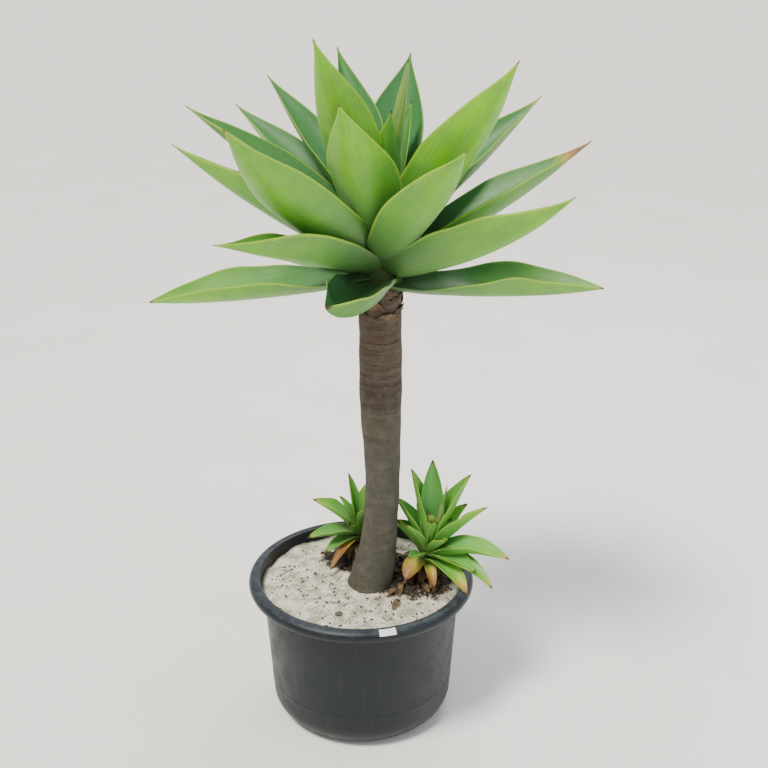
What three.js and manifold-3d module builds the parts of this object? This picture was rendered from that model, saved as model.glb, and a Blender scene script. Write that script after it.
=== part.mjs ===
// A foxtail agave grown as a small tree: one bare, ringed trunk that carries a wide rosette of fleshy leaves,
// two young offsets at its foot, and a squat black nursery pot with a rolled rim, filled with soil under sand.
// Millimetres, +Z up. The origin is the centre of the pot's underside, and the front of the plant faces -Y.
import * as THREE from "three";
import { mergeVertices } from "three/addons/utils/BufferGeometryUtils.js";
import Module from "manifold-3d";

const wasm = await Module();
wasm.setup();

// ---------- driving dimensions ----------
const CLEARANCE = 0.3; // gap kept between any two pieces that touch

const POT_HEIGHT = 325;
const POT_WALL = 4;
const POT_FLOOR = 5;
const POT_TOP_RADIUS = 213; // outside of the wall, just under the rim
const POT_FOOT_RADIUS = 198; // outside of the wall, where the foot's rounding starts
const FOOT_ROUNDING = 52;
const RIM_REACH = 32; // how far the rolled rim stands out from the wall's outside
const RIM_STEP = 12; // how much wider the mouth is than the wall's inside
const RIM_DROP = 27; // height of the roll
const RIM_SHOULDER = 15; // height over which the wall steps out to the roll; the soil comes up to its foot
const DRAIN_HOLES = 6;
const DRAIN_RADIUS = 7;
const DRAIN_CIRCLE = 122;

const SAND_THICKNESS = 14;
const SAND_MOUND = 10; // how much higher the sand stands at the trunk than at the pot's wall

const TRUNK_FOOT_RADIUS = 49;
const TRUNK_WAIST_RADIUS = 37;
const TRUNK_HEAD_RADIUS = 44;
const TRUNK_BURIED = 70; // length of trunk under the soil
const TRUNK_HEIGHT = 702; // from the soil to where the lowest leaf joins the trunk
const APEX_LENGTH = 132; // the leafy end of the trunk, from the lowest leaf to the spear
const APEX_RADIUS = 15;

const LEAF_BUTT_THICKNESS = 20;
const LEAF_EDGE_SHARE = 0.06; // thickness left at the tip, as a share of the butt's
const LEAF_RIM = 2.4; // thickness of the blunt edge
const LEAF_NECK = 0.62; // width at the stem, as a share of the widest place
const LEAF_STATIONS = 9; // sections along a crown leaf

const OFFSET_STEM_FOOT = 16; // radius of an offset's stem at the sand
const OFFSET_STEM_HEAD = 12;
const OFFSET_BURIED = 25;
const OFFSET_BUTT_THICKNESS = 9;
const OFFSET_LEAF_RIM = 1.5;
const OFFSET_STATIONS = 6;

const SPEAR_LENGTH = 330;
const SPEAR_RADIUS = 17;

const LABEL_WIDTH = 36;
const LABEL_HEIGHT = 16;
const LABEL_THICKNESS = 0.4;
const LABEL_TURN = 14; // degrees round the rim from the front, towards the right
const LABEL_TILT = 60; // degrees up the roll from its outermost line to the label's middle

// ---------- small helpers ----------
const rad = THREE.MathUtils.degToRad;
const lerp = THREE.MathUtils.lerp;
const clamp = THREE.MathUtils.clamp;
const point = (x, y, z) => new THREE.Vector3(x, y, z);

// A turn of 0 faces the front, -Y, and 90 faces the right, +X.
const outward = (turn) => point(Math.sin(rad(turn)), -Math.cos(rad(turn)), 0);

const plant = new THREE.Group();

function add(name, solid, colour, roughness) {
  const data = solid.getMesh();
  const geometry = new THREE.BufferGeometry();
  geometry.setAttribute("position", new THREE.BufferAttribute(new Float32Array(data.vertProperties), 3));
  geometry.setIndex(new THREE.BufferAttribute(new Uint32Array(data.triVerts), 1));
  geometry.computeVertexNormals();
  const mesh = new THREE.Mesh(geometry, new THREE.MeshStandardMaterial({ color: colour, roughness }));
  mesh.name = name;
  plant.add(mesh);
}

function solidOf(geometry) {
  const bare = new THREE.BufferGeometry();
  bare.setAttribute("position", geometry.getAttribute("position"));
  bare.setIndex(geometry.index);
  const merged = mergeVertices(bare, 1e-3);
  return new wasm.Manifold(
    new wasm.Mesh({
      numProp: 3,
      vertProperties: new Float32Array(merged.attributes.position.array),
      triVerts: new Uint32Array(merged.index.array),
    }),
  );
}

// Closes a row of equal rings into one solid. The last ring may be a single point. Each end is filled by a
// strip between the two halves of its ring, which also holds for a crescent-shaped ring.
function loft(rings) {
  const count = rings[0].length;
  const positions = [];
  const faces = [];
  rings.forEach((ring) => ring.forEach((p) => positions.push(p.x, p.y, p.z)));
  const at = (ring, i) => ring * count + (rings[ring].length === 1 ? 0 : i % count);
  for (let ring = 0; ring + 1 < rings.length; ring++)
    for (let i = 0; i < count; i++) {
      const [a, b, c, d] = [at(ring, i), at(ring, i + 1), at(ring + 1, i + 1), at(ring + 1, i)];
      faces.push(a, b, d);
      if (c !== d) faces.push(b, c, d);
    }
  const last = rings.length - 1;
  for (let i = 0; i + 1 < count / 2; i++) {
    const [a, b, c, d] = [i, i + 1, count - 2 - i, count - 1 - i];
    faces.push(at(0, a), at(0, d), at(0, b), at(0, b), at(0, d), at(0, c));
    if (rings[last].length === 1) continue;
    faces.push(at(last, a), at(last, b), at(last, d), at(last, b), at(last, c), at(last, d));
  }
  const geometry = new THREE.BufferGeometry();
  geometry.setAttribute("position", new THREE.BufferAttribute(new Float32Array(positions), 3));
  geometry.setIndex(faces);
  return solidOf(geometry);
}

function turned(profile, segments) {
  return solidOf(
    new THREE.LatheGeometry(
      profile.map(([r, z]) => new THREE.Vector2(r, z)),
      segments,
    ).rotateX(Math.PI / 2),
  );
}

// Points of an arc in the profile plane, from one angle to another in degrees.
function arc(r, z, radius, from, to, steps) {
  return Array.from({ length: steps + 1 }, (_, i) => {
    const a = rad(lerp(from, to, i / steps));
    return [r + radius * Math.cos(a), z + radius * Math.sin(a)];
  });
}

function biggestBody(solid) {
  return solid.decompose().reduce((a, b) => (b.volume() > a.volume() ? b : a));
}

function boxesMeet(a, b) {
  const [p, q] = [a.boundingBox(), b.boundingBox()];
  return [0, 1, 2].every((k) => p.min[k] < q.max[k] && q.min[k] < p.max[k]);
}

// ---------- pot ----------
const POT_SEGMENTS = 36;
const rimRadius = POT_TOP_RADIUS + RIM_REACH;
const mouthRadius = POT_TOP_RADIUS - POT_WALL + RIM_STEP;
const rollRadius = RIM_DROP / 2;
const wallTop = POT_HEIGHT - RIM_DROP - RIM_SHOULDER;
const soilTop = wallTop;
const crownHeight = soilTop + TRUNK_HEIGHT;

// Radius of the wall's inner face at a height above the foot's rounding.
function innerRadius(z) {
  const wall = clamp((z - FOOT_ROUNDING) / (wallTop - FOOT_ROUNDING), 0, 1);
  const shoulder = clamp((z - wallTop) / RIM_SHOULDER, 0, 1);
  return lerp(lerp(POT_FOOT_RADIUS, POT_TOP_RADIUS, wall) - POT_WALL, mouthRadius, shoulder);
}

function makePot() {
  const innerFoot = FOOT_ROUNDING - POT_WALL;
  const shell = turned(
    [
      [0, 0],
      ...arc(POT_FOOT_RADIUS - FOOT_ROUNDING, FOOT_ROUNDING, FOOT_ROUNDING, -90, 0, 4),
      [POT_TOP_RADIUS, wallTop],
      [mouthRadius + POT_WALL, POT_HEIGHT - RIM_DROP],
      [rimRadius - rollRadius, POT_HEIGHT - RIM_DROP],
      ...arc(rimRadius - rollRadius, POT_HEIGHT - rollRadius, rollRadius, -60, 90, 4),
      [mouthRadius + rollRadius / 2, POT_HEIGHT],
      [mouthRadius, POT_HEIGHT - rollRadius / 2],
      [mouthRadius, POT_HEIGHT - RIM_DROP],
      [POT_TOP_RADIUS - POT_WALL, wallTop],
      ...arc(POT_FOOT_RADIUS - FOOT_ROUNDING, POT_FLOOR + innerFoot, innerFoot, 0, -90, 3),
      [0, POT_FLOOR],
    ],
    POT_SEGMENTS,
  );
  const drill = new THREE.CylinderGeometry(DRAIN_RADIUS, DRAIN_RADIUS, 4 * POT_FLOOR, 8).rotateX(Math.PI / 2);
  let pot = shell;
  for (let i = 0; i < DRAIN_HOLES; i++) {
    const place = outward((i * 360) / DRAIN_HOLES).multiplyScalar(DRAIN_CIRCLE);
    pot = pot.subtract(solidOf(drill.clone().translate(place.x, place.y, 0)));
  }
  return pot;
}

// ---------- trunk ----------
const TRUNK_SIDES = 16;
// The trunk leans back from its foot and straightens as it rises: height, then the axis's place in X and Y.
const TRUNK_ROUTE = [
  point(-12, -28, soilTop - TRUNK_BURIED),
  point(8, -18, soilTop),
  point(27, -10, soilTop + 60),
  point(41, -2, soilTop + 140),
  point(46, 8, soilTop + 270),
  point(44, 16, soilTop + 430),
  point(42, 20, soilTop + 580),
  point(43, 20, crownHeight),
  point(44, 18, crownHeight + APEX_LENGTH),
];
const trunkCurve = new THREE.CatmullRomCurve3(TRUNK_ROUTE, false, "centripetal");

// The trunk's axis at a height.
function trunkAxis(z) {
  let low = 0;
  let high = 1;
  for (let i = 0; i < 30; i++) {
    const middle = (low + high) / 2;
    if (trunkCurve.getPoint(middle).z < z) low = middle;
    else high = middle;
  }
  return trunkCurve.getPoint(low);
}

function trunkRadius(z) {
  const share = (from, to) => clamp((z - from) / (to - from), 0, 1);
  const smooth = (t) => t * t * (3 - 2 * t);
  const flare = (TRUNK_FOOT_RADIUS - TRUNK_WAIST_RADIUS) * (1 - smooth(share(soilTop - 10, soilTop + 170)));
  const head = (TRUNK_HEAD_RADIUS - TRUNK_WAIST_RADIUS) * smooth(share(soilTop + 250, crownHeight - 200));
  const body = TRUNK_WAIST_RADIUS + flare + head;
  const apex = share(crownHeight, crownHeight + APEX_LENGTH);
  return lerp(body, APEX_RADIUS, Math.pow(apex, 1.6));
}

function ringAt(centre, radius, sides) {
  return Array.from({ length: sides }, (_, i) => {
    const a = (i * 2 * Math.PI) / sides;
    return point(centre.x + radius * Math.cos(a), centre.y + radius * Math.sin(a), centre.z);
  });
}

const trunkTop = crownHeight + APEX_LENGTH;

function makeTrunk(grow) {
  const heights = [];
  const bottom = soilTop - TRUNK_BURIED;
  for (let i = 0; i <= 13; i++) heights.push(lerp(bottom, crownHeight - 20, i / 13));
  for (let i = 1; i <= 5; i++) heights.push(lerp(crownHeight - 20, trunkTop, i / 5));
  const rings = heights.map((z, i) => {
    const end = i === 0 ? -grow : i === heights.length - 1 ? grow : 0;
    return ringAt(trunkAxis(z).setZ(z + end), trunkRadius(z) + grow, TRUNK_SIDES);
  });
  return loft(rings);
}

// ---------- leaves ----------
// One leaf is a loft of ten-cornered sections along a bent midline, and ends in a point. Round a section the
// corners run along the keel from one blunt edge to the other, and back over the channelled upper face.

// Half of the leaf's width at a share of its length, as a share of the widest place.
function widthAt(s, neck, widest) {
  if (s < widest) {
    return lerp(neck, 1, Math.sin((s / widest) * (Math.PI / 2)));
  }
  return Math.pow(Math.cos(((s - widest) / (1 - widest)) * (Math.PI / 2)), 1.3);
}

function leafMidline(leaf) {
  const steps = 60;
  const here = leaf.start.clone();
  const points = [here.clone()];
  const headings = [];
  for (let i = 0; i <= steps; i++) {
    const s = i / steps;
    const rise = leaf.rise + leaf.bend * (s - 0.5) + leaf.curl * Math.pow(Math.max(0, s - 0.55) / 0.45, 2);
    const turn = leaf.turn + leaf.sweep * s * s;
    const level = outward(turn).multiplyScalar(Math.cos(rad(rise)));
    headings.push(level.setZ(Math.sin(rad(rise))));
    if (i < steps) {
      here.addScaledVector(headings[i], leaf.length / steps);
      points.push(here.clone());
    }
  }
  const at = (list, s) => {
    const k = clamp(s * steps, 0, steps);
    const i = Math.min(Math.floor(k), steps - 1);
    return list[i].clone().lerp(list[i + 1], k - i);
  };
  return { place: (s) => at(points, s), heading: (s) => at(headings, s).normalize() };
}

function makeLeaf(leaf, grow) {
  const midline = leafMidline(leaf);
  const rings = [];
  for (let k = 0; k < leaf.stations; k++) {
    const s = k === 0 ? 0 : lerp(0.05, 0.965, (k - 1) / (leaf.stations - 2));
    const ahead = midline.heading(s);
    const side = point(Math.cos(rad(leaf.turn)), Math.sin(rad(leaf.turn)), 0);
    side.addScaledVector(ahead, -side.dot(ahead)).normalize();
    const roll = rad(leaf.roll + leaf.twist * s);
    side.applyAxisAngle(ahead, roll);
    const up = ahead.clone().cross(side);
    const half = (leaf.width / 2) * widthAt(s, leaf.neck, leaf.widest);
    const foldHere = rad(leaf.fold * lerp(0.55, 1, clamp(s / 0.3, 0, 1)));
    const lift = half * Math.sin(foldHere);
    const reach = half * Math.cos(foldHere) + grow;
    const taper = lerp(Math.pow(1 - s, 1.3), 1, LEAF_EDGE_SHARE);
    const thick = leaf.butt * taper * clamp((2 * half) / (leaf.width * leaf.neck), 0, 1);
    const centre = midline.place(s);
    if (k === 0) centre.addScaledVector(ahead, -grow);
    const corner = (across, height) =>
      centre.clone().addScaledVector(side, across * reach).addScaledVector(up, height);
    const over = thick * 0.42 + grow;
    const under = thick * 0.58 + grow;
    const rim = leaf.rim * clamp((5 * half) / leaf.width, 0.25, 1);
    const [edgeFoot, edgeTop] = [lift - rim / 2 - grow, lift + rim / 2 + 2.4 * grow];
    const shoulder = lift * 0.34;
    rings.push([
      corner(-1, edgeFoot),
      corner(-0.58, shoulder - under * 0.7 - grow),
      corner(0, -under),
      corner(0.58, shoulder - under * 0.7 - grow),
      corner(1, edgeFoot),
      corner(1, edgeTop),
      corner(0.58, shoulder + over * 0.7 + grow),
      corner(0, over),
      corner(-0.58, shoulder + over * 0.7 + grow),
      corner(-1, edgeTop),
    ]);
  }
  const end = midline.place(1).addScaledVector(midline.heading(1), grow);
  rings.push([end]);
  return loft(rings);
}

// The crown. Each row is one leaf, oldest first: its place on the golden-angle spiral, how far it strays from
// that turn, the rise of its middle, bend along its length, length, width, fold, and then any of
// curl (the tip's own rise), sweep (sideways curve), roll and twist.
const SPIRAL_START = 85;
const GOLDEN_ANGLE = 137.5;
const SPIRAL_PITCH = 4.5; // height gained from one leaf to the next
const CROWN_LEAVES = [
  { place: 0, stray: 0, rise: 0, bend: 16, length: 428, width: 140, fold: 40, widest: 0.56 },
  { place: 1, stray: 0, rise: -3, bend: 8, length: 440, width: 140, fold: 38 },
  { place: 2, stray: -18, rise: -1, bend: 36, length: 215, width: 155, fold: 40, curl: 16, sweep: -34 },
  { place: 3, stray: 0, rise: 1, bend: -6, length: 440, width: 140, fold: 38 },
  { place: 4, stray: 0, rise: -6, bend: 14, length: 448, width: 145, fold: 39, widest: 0.56 },
  { place: 5, stray: 0, rise: 28, bend: 26, length: 478, width: 158, fold: 34, curl: 4, roll: -20 },
  { place: 6, stray: 0, rise: 4, bend: -6, length: 450, width: 140, fold: 38 },
  { place: 7, stray: -10, rise: 19, bend: 4, length: 438, width: 135, fold: 42, roll: 10 },
  { place: 8, stray: -8, rise: 31, bend: 18, length: 470, width: 140, fold: 38 },
  { place: 9, stray: 20, rise: 30, bend: 20, length: 464, width: 145, fold: 40, roll: 16 },
  { place: 10, stray: 4, rise: 41, bend: 10, length: 455, width: 150, fold: 28 },
  { place: 11, stray: 0, rise: 22, bend: -12, length: 450, width: 135, fold: 38 },
  { place: 12, stray: 23, rise: 40, bend: 30, length: 503, width: 150, fold: 28, roll: 30 },
  { place: 14, stray: 22, rise: 34, bend: 6, length: 448, width: 130, fold: 38 },
  { place: 15, stray: -2, rise: 52, bend: 6, length: 435, width: 150, fold: 28 },
  { place: 16, stray: -5, rise: 36, bend: 8, length: 453, width: 130, fold: 38 },
  { place: 17, stray: 0, rise: 36, bend: 6, length: 458, width: 130, fold: 38 },
  { place: 18, stray: 12, rise: 53, bend: 16, length: 490, width: 145, fold: 30, roll: -30 },
  { place: 19, stray: -12, rise: 55, bend: -4, length: 405, width: 148, fold: 34 },
  { place: 20, stray: 10, rise: 65, bend: 4, length: 457, width: 140, fold: 36, roll: 20 },
  { place: 22, stray: 0, rise: 44, bend: 10, length: 407, width: 108, fold: 38 },
  { place: 23, stray: 6, rise: 74, bend: 4, length: 270, width: 90, fold: 40 },
  { place: 24, stray: 0, rise: 68, bend: 4, length: 260, width: 88, fold: 40 },
  { place: 25, stray: 2, rise: 69, bend: 4, length: 303, width: 92, fold: 40 },
  { place: 27, stray: 8, rise: 58, bend: 4, length: 373, width: 110, fold: 38 },
];

const plainLeaf = { curl: 0, sweep: 0, roll: 0, twist: 0, neck: LEAF_NECK, widest: 0.47 };

function crownLeaf(row) {
  const z = crownHeight + row.place * SPIRAL_PITCH;
  const turn = SPIRAL_START + row.place * GOLDEN_ANGLE + row.stray;
  const start = trunkAxis(z).setZ(z).addScaledVector(outward(turn), trunkRadius(z) * 0.45);
  const butt = LEAF_BUTT_THICKNESS * lerp(1, 0.6, row.place / 27);
  return { ...plainLeaf, stations: LEAF_STATIONS, rim: LEAF_RIM, butt, ...row, turn, start };
}

// Leaves are fitted from the youngest outwards: each is cut clear of the stem and of the leaves inside it.
function fitLeaves(prefix, leaves, inside, colour) {
  const kept = [];
  for (const leaf of leaves.slice().reverse()) {
    let solid = makeLeaf(leaf, 0);
    for (const grown of [...inside, ...kept.map((other) => other.grown)])
      if (boxesMeet(solid, grown)) solid = solid.subtract(grown);
    kept.push({ solid: biggestBody(solid), grown: makeLeaf(leaf, 2 * CLEARANCE) });
  }
  const number = (i) => String(i + 1).padStart(2, "0");
  kept.reverse().forEach(({ solid }, i) => add(`${prefix}_${number(i)}`, solid, colour, 0.6));
}

// A furled young leaf: a slim round cone that stands on top of a stem.
function makeSpear(foot, turn, rise, length, radius, grow) {
  const heading = outward(turn).multiplyScalar(Math.cos(rad(rise))).setZ(Math.sin(rad(rise)));
  const sections = [
    [0, 0.8],
    [0.25, 1],
    [0.55, 0.86],
    [0.8, 0.5],
    [0.94, 0.2],
  ];
  const frame = new THREE.Quaternion().setFromUnitVectors(point(0, 0, 1), heading);
  const rings = sections.map(([s, share], i) =>
    ringAt(point(0, 0, s * length - (i === 0 ? grow : 0)), radius * share + grow, 10),
  );
  rings.push([point(0, 0, length + grow)]);
  return loft(rings.map((ring) => ring.map((p) => p.applyQuaternion(frame).add(foot))));
}

// ---------- offsets ----------
// An offset is a small leaning stem with its own rosette: where its foot and head are, and the head's height
// above the soil. Each row is one leaf, oldest first: its turn, the rise of its middle, bend, length, width
// and fold.
const OFFSETS = [
  {
    name: "right_offset",
    foot: [97, 22],
    head: [156, 20],
    height: 98,
    spear: { turn: 110, rise: 77, length: 146, radius: 7 },
    leaves: [
      { turn: 36, rise: -10, bend: -50, length: 152, width: 52, fold: 34 },
      { turn: 14, rise: -30, bend: -50, length: 84, width: 27, fold: 30 },
      { turn: -38, rise: -26, bend: -40, length: 76, width: 49, fold: 24 },
      { turn: 52, rise: -8, bend: -56, length: 180, width: 52, fold: 34 },
      { turn: 150, rise: 6, bend: -16, length: 130, width: 52, fold: 34 },
      { turn: 63, rise: 6, bend: -18, length: 194, width: 66, fold: 34 },
      { turn: 44, rise: 3, bend: -16, length: 138, width: 60, fold: 32 },
      { turn: -165, rise: 20, bend: -10, length: 125, width: 57, fold: 34 },
      { turn: -92, rise: 49, bend: -6, length: 101, width: 48, fold: 34 },
      { turn: 120, rise: 43, bend: -8, length: 130, width: 57, fold: 34 },
      { turn: -98, rise: 60, bend: -4, length: 143, width: 53, fold: 34 },
      { turn: 78, rise: 44, bend: -6, length: 167, width: 70, fold: 28, roll: -20 },
      { turn: 96, rise: 65, bend: -4, length: 194, width: 63, fold: 34 },
      { turn: -108, rise: 77, bend: 0, length: 190, width: 57, fold: 36 },
      { turn: 178, rise: 82, bend: 0, length: 198, width: 57, fold: 36 },
      { turn: -20, rise: 80, bend: 4, length: 96, width: 33, fold: 36 },
    ],
  },
  {
    name: "left_offset",
    foot: [-12, 104],
    head: [-5, 100],
    height: 108,
    spear: null,
    leaves: [
      { turn: -36, rise: -22, bend: -44, length: 110, width: 22, fold: 30 },
      { turn: -54, rise: -12, bend: -20, length: 88, width: 38, fold: 34 },
      { turn: 95, rise: 10, bend: -14, length: 88, width: 41, fold: 34 },
      { turn: -68, rise: 4, bend: -14, length: 118, width: 41, fold: 34 },
      { turn: 168, rise: 16, bend: -10, length: 100, width: 41, fold: 34 },
      { turn: -84, rise: 37, bend: -8, length: 126, width: 52, fold: 28 },
      { turn: -130, rise: 78, bend: 0, length: 128, width: 33, fold: 36 },
      { turn: 120, rise: 79, bend: 0, length: 104, width: 44, fold: 36 },
    ],
  },
];
const OFFSET_CROWN = 34; // length of stem the leaves sit on

const offsetHead = (offset) => point(...offset.head, soilTop + offset.height);

function makeOffsetStem(offset, grow) {
  const foot = point(...offset.foot, soilTop - OFFSET_BURIED);
  const steps = 4;
  const rings = [];
  for (let i = 0; i <= steps; i++) {
    const end = i === 0 ? -grow : i === steps ? grow : 0;
    const centre = foot.clone().lerp(offsetHead(offset), i / steps);
    const radius = lerp(OFFSET_STEM_FOOT, i === steps ? 6 : OFFSET_STEM_HEAD, i / steps);
    rings.push(ringAt(centre.setZ(centre.z + end), radius + grow, 10));
  }
  return loft(rings);
}

function offsetLeaf(offset, row, order) {
  const foot = point(...offset.foot, soilTop);
  const head = offsetHead(offset);
  const down = (OFFSET_CROWN * (1 - order / offset.leaves.length)) / foot.distanceTo(head);
  const axis = head.lerp(foot, down);
  const start = axis.addScaledVector(outward(row.turn), OFFSET_STEM_HEAD * 0.4);
  const butt = OFFSET_BUTT_THICKNESS * clamp(row.width / 36, 0.5, 1);
  return { ...plainLeaf, stations: OFFSET_STATIONS, rim: OFFSET_LEAF_RIM, butt, ...row, start };
}

// ---------- soil, sand and label ----------
function makeSoil() {
  const foot = FOOT_ROUNDING - POT_WALL - CLEARANCE;
  const centre = POT_FLOOR + CLEARANCE + foot;
  const floorRadius = POT_FOOT_RADIUS - FOOT_ROUNDING;
  return turned(
    [
      [0, POT_FLOOR + CLEARANCE],
      ...arc(floorRadius, centre, foot, -90, 0, 3),
      [innerRadius(soilTop) - CLEARANCE, soilTop],
      [0, soilTop],
    ],
    POT_SEGMENTS,
  );
}

// Gentle waves in the sand's surface.
function sandHeight(x, y) {
  const mound = SAND_MOUND * (1 - Math.hypot(x, y) / POT_TOP_RADIUS);
  const waves = 2.2 * Math.sin(x / 31 + 1) * Math.cos(y / 27) + 1.3 * Math.sin((x + 2 * y) / 23);
  return SAND_THICKNESS + mound + waves;
}

function makeSand() {
  const bottom = soilTop + CLEARANCE;
  const reach = innerRadius(bottom) - CLEARANCE;
  const onSurface = (p) => p.setZ(soilTop + sandHeight(p.x, p.y));
  const edge = ringAt(point(0, 0, 0), reach, POT_SEGMENTS).map((p) => {
    const z = onSurface(p).z;
    return p.multiplyScalar((innerRadius(z) - CLEARANCE) / reach).setZ(z);
  });
  const inner = [0.7, 0.35].map((share) => ringAt(point(0, 0, 0), reach * share, POT_SEGMENTS).map(onSurface));
  const middle = [onSurface(point(0, 0, 0))];
  return loft([ringAt(point(0, 0, bottom), reach, POT_SEGMENTS), edge, ...inner, middle]);
}

// A thin paper label that follows the roll of the rim.
function makeLabel() {
  const away = rollRadius + CLEARANCE;
  const halfTurn = THREE.MathUtils.radToDeg(LABEL_WIDTH / 2 / rimRadius);
  const halfTilt = THREE.MathUtils.radToDeg(LABEL_HEIGHT / 2 / away);
  const [low, high] = [LABEL_TILT - halfTilt, LABEL_TILT + halfTilt];
  const centre = [rimRadius - rollRadius, POT_HEIGHT - rollRadius];
  const back = arc(...centre, away, high, low, 4);
  const section = [...back, ...arc(...centre, away + LABEL_THICKNESS, low, high, 4)];
  const rings = [1, 0.33, -0.33, -1].map((share) => {
    const place = outward(LABEL_TURN + share * halfTurn);
    return section.map(([r, z]) => place.clone().multiplyScalar(r).setZ(z));
  });
  return loft(rings);
}

// ---------- everything together ----------
const LEAF_GREEN = 0x7fa05a;
const STEM_BROWN = 0x6b5a48;
const trunkGrown = makeTrunk(CLEARANCE);
const stemsGrown = OFFSETS.map((offset) => makeOffsetStem(offset, CLEARANCE));

add("pot", makePot(), 0x2c2f33, 0.55);
add("plant_label", makeLabel(), 0xf2f1ec, 0.7);

let soil = makeSoil();
let sand = makeSand();
for (const stem of [trunkGrown, ...stemsGrown]) {
  soil = soil.subtract(stem);
  sand = sand.subtract(stem);
}
add("potting_soil", soil, 0x3a2c22, 0.95);
add("sand", sand, 0xcfc6b4, 0.95);

add("trunk", makeTrunk(0), STEM_BROWN, 0.9);
const crownSpear = (grow) => makeSpear(trunkAxis(trunkTop), 40, 76, SPEAR_LENGTH, SPEAR_RADIUS, grow);
add("central_spear", crownSpear(0).subtract(trunkGrown), LEAF_GREEN, 0.6);
fitLeaves("crown_leaf", CROWN_LEAVES.map(crownLeaf), [trunkGrown, crownSpear(2 * CLEARANCE)], LEAF_GREEN);

OFFSETS.forEach((offset, i) => {
  add(`${offset.name}_stem`, makeOffsetStem(offset, 0), STEM_BROWN, 0.9);
  const inside = [stemsGrown[i], trunkGrown];
  if (offset.spear) {
    const { turn, rise, length, radius } = offset.spear;
    const spear = (grow) => makeSpear(offsetHead(offset), turn, rise, length, radius, grow);
    add(`${offset.name}_spear`, spear(0).subtract(stemsGrown[i]), LEAF_GREEN, 0.6);
    inside.push(spear(2 * CLEARANCE));
  }
  const leaves = offset.leaves.map((row, order) => offsetLeaf(offset, row, order));
  fitLeaves(`${offset.name}_leaf`, leaves, inside, LEAF_GREEN);
});

export default plant;
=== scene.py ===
import math
import random

import bmesh
import bpy
import numpy as np
from mathutils import Matrix, Vector, noise


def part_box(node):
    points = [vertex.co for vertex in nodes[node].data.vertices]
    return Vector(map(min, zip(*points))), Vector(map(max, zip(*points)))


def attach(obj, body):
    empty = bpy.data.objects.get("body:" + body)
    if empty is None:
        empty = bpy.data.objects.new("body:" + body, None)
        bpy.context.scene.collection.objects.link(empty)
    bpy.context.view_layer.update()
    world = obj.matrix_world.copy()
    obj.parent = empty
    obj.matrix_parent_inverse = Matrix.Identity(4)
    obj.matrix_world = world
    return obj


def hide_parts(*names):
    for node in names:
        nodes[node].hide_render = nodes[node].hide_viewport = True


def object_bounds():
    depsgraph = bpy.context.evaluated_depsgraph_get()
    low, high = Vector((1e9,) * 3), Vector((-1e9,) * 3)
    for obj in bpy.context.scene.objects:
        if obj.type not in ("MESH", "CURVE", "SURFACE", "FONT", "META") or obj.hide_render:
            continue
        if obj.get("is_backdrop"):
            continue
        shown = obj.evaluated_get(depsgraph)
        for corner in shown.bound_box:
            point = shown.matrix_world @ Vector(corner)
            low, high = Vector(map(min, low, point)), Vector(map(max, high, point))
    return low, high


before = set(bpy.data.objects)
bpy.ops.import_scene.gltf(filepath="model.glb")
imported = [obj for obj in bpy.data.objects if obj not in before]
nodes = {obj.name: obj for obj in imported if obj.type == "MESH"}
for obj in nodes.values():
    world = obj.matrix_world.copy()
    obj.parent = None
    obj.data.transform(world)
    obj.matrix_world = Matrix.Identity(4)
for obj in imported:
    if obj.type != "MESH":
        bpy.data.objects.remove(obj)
cad_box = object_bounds()
MM = 0.001
print("frame:", len(nodes), "nodes,", "top at", round(cad_box[1].z / MM), "mm")

# %% [markdown]
# ## The camera
# A camera is placed like a real one: where it stands, where it points, and how long its lens is. This one
# stands 2.5 m in front at 1.8 m, a little above the crown, and looks down by about 23 degrees. A longish lens
# keeps the pot's ellipse and the trunk's taper as an eye sees them.
# %% Place the camera
camera = bpy.data.objects.new("camera", bpy.data.cameras.new("camera"))
bpy.context.scene.collection.objects.link(camera)
bpy.context.scene.camera = camera
camera.location = (0.05, -2.5, 1.825)
camera.rotation_euler = (math.radians(90 - 22.85), 0, 0)
camera.data.lens = 61.8
camera.data.sensor_width = 36
print("camera lens:", camera.data.lens, "mm")

# %% [markdown]
# ## Colours and nodes
# A colour picked on a screen is an sRGB value, but light adds up in linear values, so each hex colour is
# converted once, here. A material is a small graph of nodes. One helper adds any node: it takes the node's
# kind, what goes into each socket (a plain value, a hex colour, or another node's output), and its settings.
# Two kinds come back all the time. Map Range turns a value from one range into another, and says how strongly
# something shows. Mix lays one colour over another by that strength.
# %% Helpers for colours and nodes
def colour(code):
    """An sRGB hex colour as the linear RGBA that Blender's sockets take."""
    channels = [int(code[i : i + 2], 16) / 255 for i in (1, 3, 5)]
    return (*[c / 12.92 if c <= 0.04045 else ((c + 0.055) / 1.055) ** 2.4 for c in channels], 1.0)


def add(tree, kind, sockets, **settings):
    """Adds one shader node with its settings, links and values, and returns its outputs."""
    made = tree.nodes.new("ShaderNode" + kind)
    stops = settings.pop("stops", ())
    for name, value in settings.items():
        setattr(made, name, value)
    for k, (place, code) in enumerate(stops):
        stop = made.color_ramp.elements[k] if k < 2 else made.color_ramp.elements.new(place)
        stop.position, stop.color = place, colour(code)
    for name, value in sockets.items():
        if isinstance(value, bpy.types.NodeSocket):
            tree.links.new(value, made.inputs[name])
        else:
            made.inputs[name].default_value = colour(value) if isinstance(value, str) else value
    return made.outputs


# Settings that many nodes share: a range that eases in and out, and a mix that works on colours.
SOFT_ENDS = {"interpolation_type": "SMOOTHSTEP"}
ON_COLOURS = {"data_type": "RGBA"}


def new_material(name):
    """A material with an empty graph: its tree, and its one principled shader."""
    material = bpy.data.materials.new(name)
    material.use_nodes = True
    shader = material.node_tree.nodes["Principled BSDF"]
    return material, material.node_tree, shader


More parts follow.
